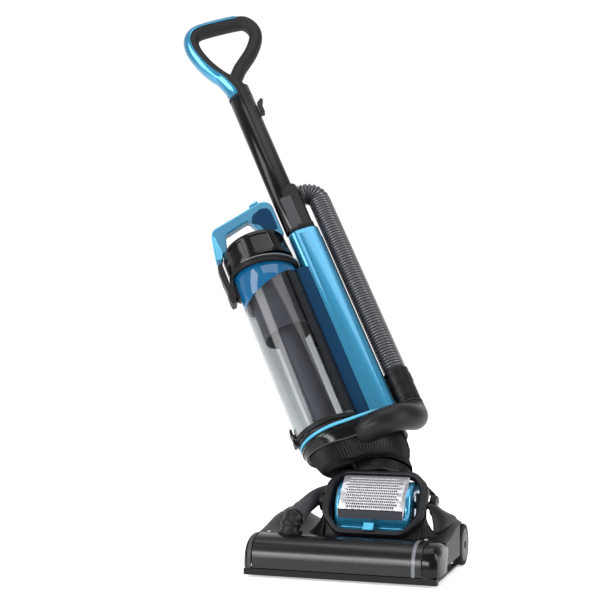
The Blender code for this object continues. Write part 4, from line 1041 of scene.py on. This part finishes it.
# ---- Stretch hose: a grey corrugated hose that runs from the cuff up behind the column
# and turns into the socket block, and the fat elbow that leads down round the dish.
hose_skin = moulded_abs("corrugated_hose_eva", "3A3A40", 0.24, 1.0, 0.05, shine=0.9)
hose_points = [(0, 81, z) for z in (138.4, 180, 240, 300, 360, 420, 470, 492)]
hose_points += [(0, 59 + 22 * math.cos(math.radians(a)), 495 + 22 * math.sin(math.radians(a)))
                for a in (15, 35, 55, 75, 88)]
hose_points += [(0, 53, 517)]
hose_rows = ribbed(smooth_line(hose_points, 14), 19.4, 3.0, 5.2, sides=48)
settle(piece("stretch_hose_skin", skin(hose_rows, caps=True), BODY), hose_skin, "upright", "hose_grey",
       "stretch_hose", smooth=60)
cuff_at = moved(BODY, 0, 81, 0)
cuff_profile = [(21, 78.2), (21, 82), (20.2, 82.6), (20.2, 84.2), (21, 84.8), (21, 104), (20.3, 104.6),
                (20.3, 106.2), (21, 106.8), (21, 126), (20.3, 126.6), (20.3, 128), (21, 128.6), (21, 136),
                (19.6, 138), (16.4, 138), (16.4, 78.2)]
settle(piece("hose_collar", lathe(cuff_profile, 72), cuff_at), satin_black, "upright", "matt_black",
       "hose_cuff", smooth=25)
for n in range(8):
    turned = cuff_at @ Matrix.Rotation(math.tau * (n + 0.5) / 8, 4, "Z")
    fin = rounded_box((-1.4, 20, 108), (1.4, 21.9, 125), turned, f"cuff_fin_{n}", 0.6, 2)
    settle(fin, satin_black, "upright", "matt_black")
elbow_way = [(0, 81, 70), (0.2, 80.8, 66), (3, 80.5, 58), (12, 78, 48), (27, 71, 42), (42, 60, 39.5),
             (54, 44, 38.5), (60, 26, 37.5), (59, 8, 37), (51, -8, 36.5), (39, -16, 36)]
elbow_rows = sweep(smooth_line([(0, 81, 77.2)] + elbow_way, 7), lambda i, s: circle(21.8 - 1.0 * (i < 3), 48),
                   up=Vector((0, 0, 1)))
fat_elbow = piece("hose_elbow_boot", skin(elbow_rows, caps=True), BODY)
settle(fat_elbow, pvc, "upright", "matt_black", "hose_elbow", smooth=60)


# ---- Dust bin: a smoke-clear polycarbonate cup over a hinged door, with the perforated
# shroud and the cyclone tube hanging inside, and a blue tinted band round its top.
def clear_moulding(name, colour):
    """Clear polycarbonate: polished and tinted in the melt, so highlights stay crisp."""
    made, tree, shader, place = new_finish(name)
    dust = add(tree, "ShaderNodeTexNoise", n0=place, Scale=1000 / 45, Detail=2.0)
    rough_map = add(tree, "ShaderNodeMapRange", n0=dust.outputs["Fac"], n3=0.04, n4=0.09)
    tree.links.new(rough_map.outputs[0], shader.inputs["Roughness"])
    shader.inputs["Base Color"].default_value = linear(colour)
    shader.inputs["IOR"].default_value = 1.4
    shader.inputs["Transmission Weight"].default_value = 1.0
    return made


smoke = clear_moulding("smoke_polycarbonate", "C8CCCE")
blue_clear = moulded_abs("blue_tinted_polycarbonate", "0A527C", 0.1, 4.0, 0.01, coat=0.6)


def cup_ring(radius, height, slope=0.0, count=128):
    """A ring round the cup; slope raises it towards the back."""
    return [(x, y, height + slope * y) for x, y in circle(radius, count)]


slant = 0.34
cup_rows = [cup_ring(*at) for at in (
    (52.6, 70.2), (53.5, 70.2), (54, 70.8), (54, 200), (54, 347, slant), (52, 347, slant), (52, 200),
    (52, 70.8), (52.6, 70.2))]
settle(piece("dust_cup_wall", skin(cup_rows), BIN), smoke, "dust_bin", "clear_smoke", "bin_cup", smooth=35)
band_rows = [cup_ring(*at) for at in (
    (54, 347.6, slant), (54.3, 349, slant), (54.3, 395), (53.6, 396), (51, 396), (50.4, 349, slant),
    (54, 347.6, slant))]
settle(piece("tinted_band", skin(band_rows), BIN), blue_clear, "dust_bin", "clear_blue", "bin_upper_band",
       smooth=35)

shroud_grey = moulded_abs("satin_smoke_shroud", "6C6D76", 0.3, 1.0, 0.08)
HOLES_ROUND, HOLES_UP, LOWEST_HOLE, HOLE_STEP = 40, 17, 268, 6.0
profile = [(49, 377), (49, 373), (40, 373), (42, 262), (40, 262), (38, 373), (34, 373), (34, 377)]
settle(piece("shroud_body", lathe(eased(profile, 0.6, 2), 96), BIN), shroud_grey, "dust_bin", "dark_grey",
       "cyclone_shroud", smooth=30)
dots = bmesh.new()
for row in range(HOLES_UP):
    z = LOWEST_HOLE + HOLE_STEP * row
    r = 42 + (40 - 42) * (z - 262) / 111 + 0.12
    for k in range(HOLES_ROUND):
        turn = math.tau * (k + 0.5 * (row % 2)) / HOLES_ROUND
        out = Vector((math.cos(turn), math.sin(turn), 0))
        side = Vector((-math.sin(turn), math.cos(turn), 0))
        rings = [[out * at + side * a + Vector((0, 0, z + b)) for a, b in circle(size, 8)]
                 for at, size in ((r, 0.8), (r - 0.8, 0.7))]
        skin(rings, caps=True, bm=dots)
hole_dark = moulded_abs("shroud_hole_shadow", "17181A", 0.8, 1.0, 0.1)
settle(piece("shroud_holes", dots, BIN), hole_dark, "dust_bin", "matt_black", smooth=20)
tube_profile = [(31, 330), (22, 268), (22, 74), (19.8, 74), (19.8, 268), (29, 330)]
settle(piece("cyclone_tube_wall", lathe(eased(tube_profile, 1.0, 3), 72), BIN), shroud_grey, "dust_bin",
       "dark_grey", "cyclone_tube", smooth=30)
for n in range(8):
    rib = rounded_box((21.6, -0.7, 78), (23.4, 0.7, 262), BIN @ Matrix.Rotation(math.tau * n / 8, 4, "Z"),
                      f"tube_rib_{n}", 0.4, 2)
    settle(rib, shroud_grey, "dust_bin", "dark_grey")
pleats = [(25.6 + 1.3 * (k % 2), x, y) for k, (x, y) in enumerate(circle(1, 96))]
filter_rows = [[(r * x, r * y, z) for r, x, y in pleats] for z in (340.4, 371.6)]
settle(piece("pre_filter", skin(filter_rows, caps=True), BIN), filter_paper, "dust_bin", "filter_white",
       "bin_filter", smooth=15)
foot_line = [(54.2, 70), (56.4, 70.4), (56.8, 72), (56.8, 76), (55.6, 78.4), (54.2, 78.8)]
foot_ring = piece("cup_foot_ring", lathe(eased(foot_line, 0.6, 3), 128), BIN)
settle(foot_ring, satin_black, "dust_bin", "matt_black", smooth=30)
for word, side in SIDES:
    knuckle = lathe(eased([(0, 3.5), (3.4, 3.5), (3.4, -3.5), (0, -3.5)], 0.8), 28)
    settle(piece(f"door_knuckle_{word}", knuckle, moved(BODY, side * 14, -117, 80) @ ALONG_X), coal_grey,
           "dust_bin", "dark_grey", smooth=30)
door_profile = eased([(0, 66.4), (50, 66.4), (51, 69.2), (55, 69.2), (55, 64.6), (54, 64), (0, 64)], 0.8, 3)
settle(piece("cup_door", lathe(door_profile, 96), BIN), coal_grey, "dust_bin", "dark_grey", "bin_door",
       smooth=30)


# ---- Bin collar and lid: a black ring locked on the cup's rim, knurled at its back, and a
# gloss black cap with moulded finger recesses round its side, so a hand can twist it off.
collar_at = moved(BIN, 0, 0, 386) @ Matrix.Rotation(math.radians(-9), 4, "X")
# The thin grey ring on the collar's top is a painted highlight: the collar's glossy sheen drawn as a grey
# ring.
painted_highlight_ring = piece("collar_painted_highlight_ring",
                    lathe(eased([(61.6, 6.9), (61.6, 5.3), (57, 5.3), (57, 6.9)], 0.5, 3), 128), collar_at)
carve(painted_highlight_ring, block((-80, -80, 397.4), (80, 80, 440), BIN))
settle(painted_highlight_ring, painted_highlight_grey, "dust_bin", "silver", smooth=30)
collar_rows = [cup_ring(r, z, count=160) for r, z in (
    (55.7, -5), (60.2, -5), (61, -4.2), (61, -2.0), (60.2, -1.6), (60.2, 1.4), (61, 1.8), (61, 4.2),
    (60.2, 5), (55.7, 5), (55.7, -5))]
bin_ring_upper = piece("bin_collar_ring", skin(collar_rows), collar_at)
carve(bin_ring_upper, block((-80, -80, 397.6), (80, 80, 440), BIN))
settle(bin_ring_upper, satin_black, "dust_bin", "matt_black", "bin_collar", smooth=25)
for n in range(26):
    turned = collar_at @ Matrix.Rotation(math.radians(-20 + 8 * n), 4, "Z")
    rib = rounded_box((60.4, -1.1, -4.0), (61.4, 1.1, 4.0), turned, f"collar_rib_{n}", 0.4, 2)
    settle(rib, satin_black, "dust_bin", "matt_black")

GRIPS, GRIP_HALF, GRIP_LOW, GRIP_HIGH, LID_POINTS = 7, 18.0, 406.0, 438.5, 400
lid_line = smooth_line([(0, r, z) for r, z in (
    (58.0, 398.2), (58.0, 404), (57.4, 410), (56.6, 420), (55.9, 432), (55.2, 441), (53.6, 445),
    (50.5, 447))], 9)
lid_rows = [cup_ring(r, z, count=LID_POINTS)
            for r, z in ((8, 441.8), (46, 441.8), (51, 437), (51.6, 404), (55.6, 398.2))]
for p in lid_line:
    ring = []
    for k in range(LID_POINTS):
        turn = 360 * k / LID_POINTS
        local = (turn + 18) % (360 / GRIPS) - 180 / GRIPS
        across = min(1.0, 4 * (1 - (abs(local) / GRIP_HALF) ** 6)) if abs(local) < GRIP_HALF else 0.0
        share = (p.z - (GRIP_LOW + GRIP_HIGH) / 2) / ((GRIP_HIGH - GRIP_LOW) / 2)
        upright = min(1.0, 4 * (1 - abs(share) ** 6)) if abs(share) < 1 else 0.0
        r = p.y - 2.6 * across * upright
        ring.append((r * math.cos(math.radians(turn)), r * math.sin(math.radians(turn)), p.z))
    lid_rows.append(ring)
lid_rows += [cup_ring(r, z, count=LID_POINTS) for r, z in ((46, 447), (44, 445.4), (8, 445.4))]
settle(piece("lid_cap", skin(lid_rows, caps=True), BIN), gloss_black, "bin_lid", "gloss_black", "bin_lid",
       smooth=50)


# ---- Carrying handle: a blue ABS bow over the lid, with a paler plate let in its front
# leg and a small release button near its back end.
bow = [(-129, 434), (-121, 490), (-109, 500), (-55, 515), (-22, 524), (-6, 521), (-1.6, 512), (-1.6, 448),
       (-38, 448), (-42, 476), (-52, 496), (-60, 494), (-98, 482), (-106, 448), (-118.6, 448), (-118.6, 434)]
handle_bow = soften(bar(round_corners(bow, 4.5, 4), -8.4, 8.4, BODY, "carry_bow"), 2.6, 4, 50)
settle(handle_bow, blue_abs, "bin_lid", "metallic_blue", "bin_handle", smooth=50)
plate = [(-127.4, 438), (-120.6, 484), (-117.2, 486), (-113.5, 450), (-118.8, 438)]
for word, side in SIDES:
    low, high = sorted((side * 8.2, side * 8.8))
    inlay = soften(bar(round_corners(plate, 2.5, 4), low, high, BODY, f"bow_inlay_{word}"), 0.3, 2, 50)
    settle(inlay, pale_blue, "bin_lid", "light_blue")
front_plate = soften(bar([(-129.9, 437), (-122.6, 487), (-121.9, 486.6), (-129.0, 436.8)], -6.4, 6.4, BODY,
                         "bow_front_plate"), 0.3, 2, 50)
settle(front_plate, pale_blue, "bin_lid", "light_blue")
lug = rounded_box((-9, -117.9, 404), (9, -113.5, 436), BODY, "lid_lug", 1.2)
settle(lug, satin_black, "bin_lid", "matt_black")
for word, side in SIDES:
    # The pale blue trim along the bow's top edges is a painted highlight: the light edge that the bow's gloss
    # shows.
    edge_line = smooth_line([(side * 7.6, y, z) for y, z in (
        (-128.4, 440), (-121.2, 484), (-114, 497.4), (-98, 502.3), (-55, 514), (-22, 523), (-9, 520.5))], 6)
    highlight_trim = piece(f"bow_painted_highlight_{word}", skin(sweep(edge_line, lambda i, s: circle(1.5, 10)), caps=True), BODY)
    settle(highlight_trim, pale_blue, "bin_lid", "light_blue")
    # The web's dark navy is painted shade: a panel standing proud of the bow, darkened so it reads as a
    # recess.
    web_line = round_corners([(-48, 488), (-42, 503), (-24, 512), (-12, 509), (-8, 500), (-8, 462),
                              (-30, 462), (-35, 480)], 4, 4)
    low, high = sorted((side * 8.2, side * 8.9))
    web = soften(bar(web_line, low, high, BODY, f"bow_web_{word}"), 0.4, 2, 50)
    settle(web, painted_shade_navy, "bin_lid", "metallic_blue")
button_at = moved(BODY, 0, -30, 524) @ Matrix.Rotation(math.radians(15), 4, "X")
button = rounded_box((-4.9, -8.9, 2.7), (4.9, 8.9, 6.5), button_at, "bin_button_cap", 1.4, 3)
settle(button, pale_blue, "bin_button", "light_blue", "bin_release_button")


# ---- Latches: the long charcoal toggle that holds the lid at the front of the cup, and
# the small one at its foot that drops the door.
latch_at = moved(BODY, 0, -127, 420)
latch_side = round_corners([(4.3, 7.8), (-3.5, 7.8), (-5.8, 0), (-5.6, -30), (-4.4, -46), (-5.8, -60),
                            (-4.8, -71.6), (3.2, -71.8), (7.6, -62), (9.6, -44), (4.6, -34)], 2, 4)
latch = soften(bar(latch_side, -12.2, 12.2, latch_at, "lid_toggle"), 1.2, 3, 50)
settle(latch, coal_grey, "lid_latch", "dark_grey", "lid_latch", smooth=50)
for n in range(5):
    rib_at = moved(latch_at, 0, 0, -n * 3.2)
    rib = rounded_box((-8, -6.0, -54), (8, -4.4, -52.4), rib_at, f"toggle_rib_{n}", 0.4, 2)
    settle(rib, coal_grey, "lid_latch", "dark_grey")
inset = rounded_box((-7.4, -6.3, -26), (7.4, -5.2, -4), latch_at, "toggle_inset", 0.5, 2)
settle(inset, gloss_black, "lid_latch", "gloss_black")
keeper_side = round_corners([(-113.2, 352), (-118.8, 356), (-120.6, 366), (-120.6, 379), (-113.2, 383)], 2, 3)
keeper = soften(bar(keeper_side, -9.5, 9.5, BODY, "toggle_keeper"), 0.8, 3, 50)
settle(keeper, satin_black, "dust_bin", "matt_black", smooth=50)
door_side = round_corners([(1.8, 5.8), (-1.5, 5.8), (-3.4, 0), (-2.2, -10), (-3.4, -18), (-2.6, -24.8),
                           (1.8, -24.8)], 1, 3)
door_toggle = soften(bar(door_side, -8.8, 8.8, moved(BODY, 0, -118, 92), "door_toggle"), 0.8, 3, 50)
settle(door_toggle, coal_grey, "door_latch", "dark_grey", "door_latch", smooth=50)
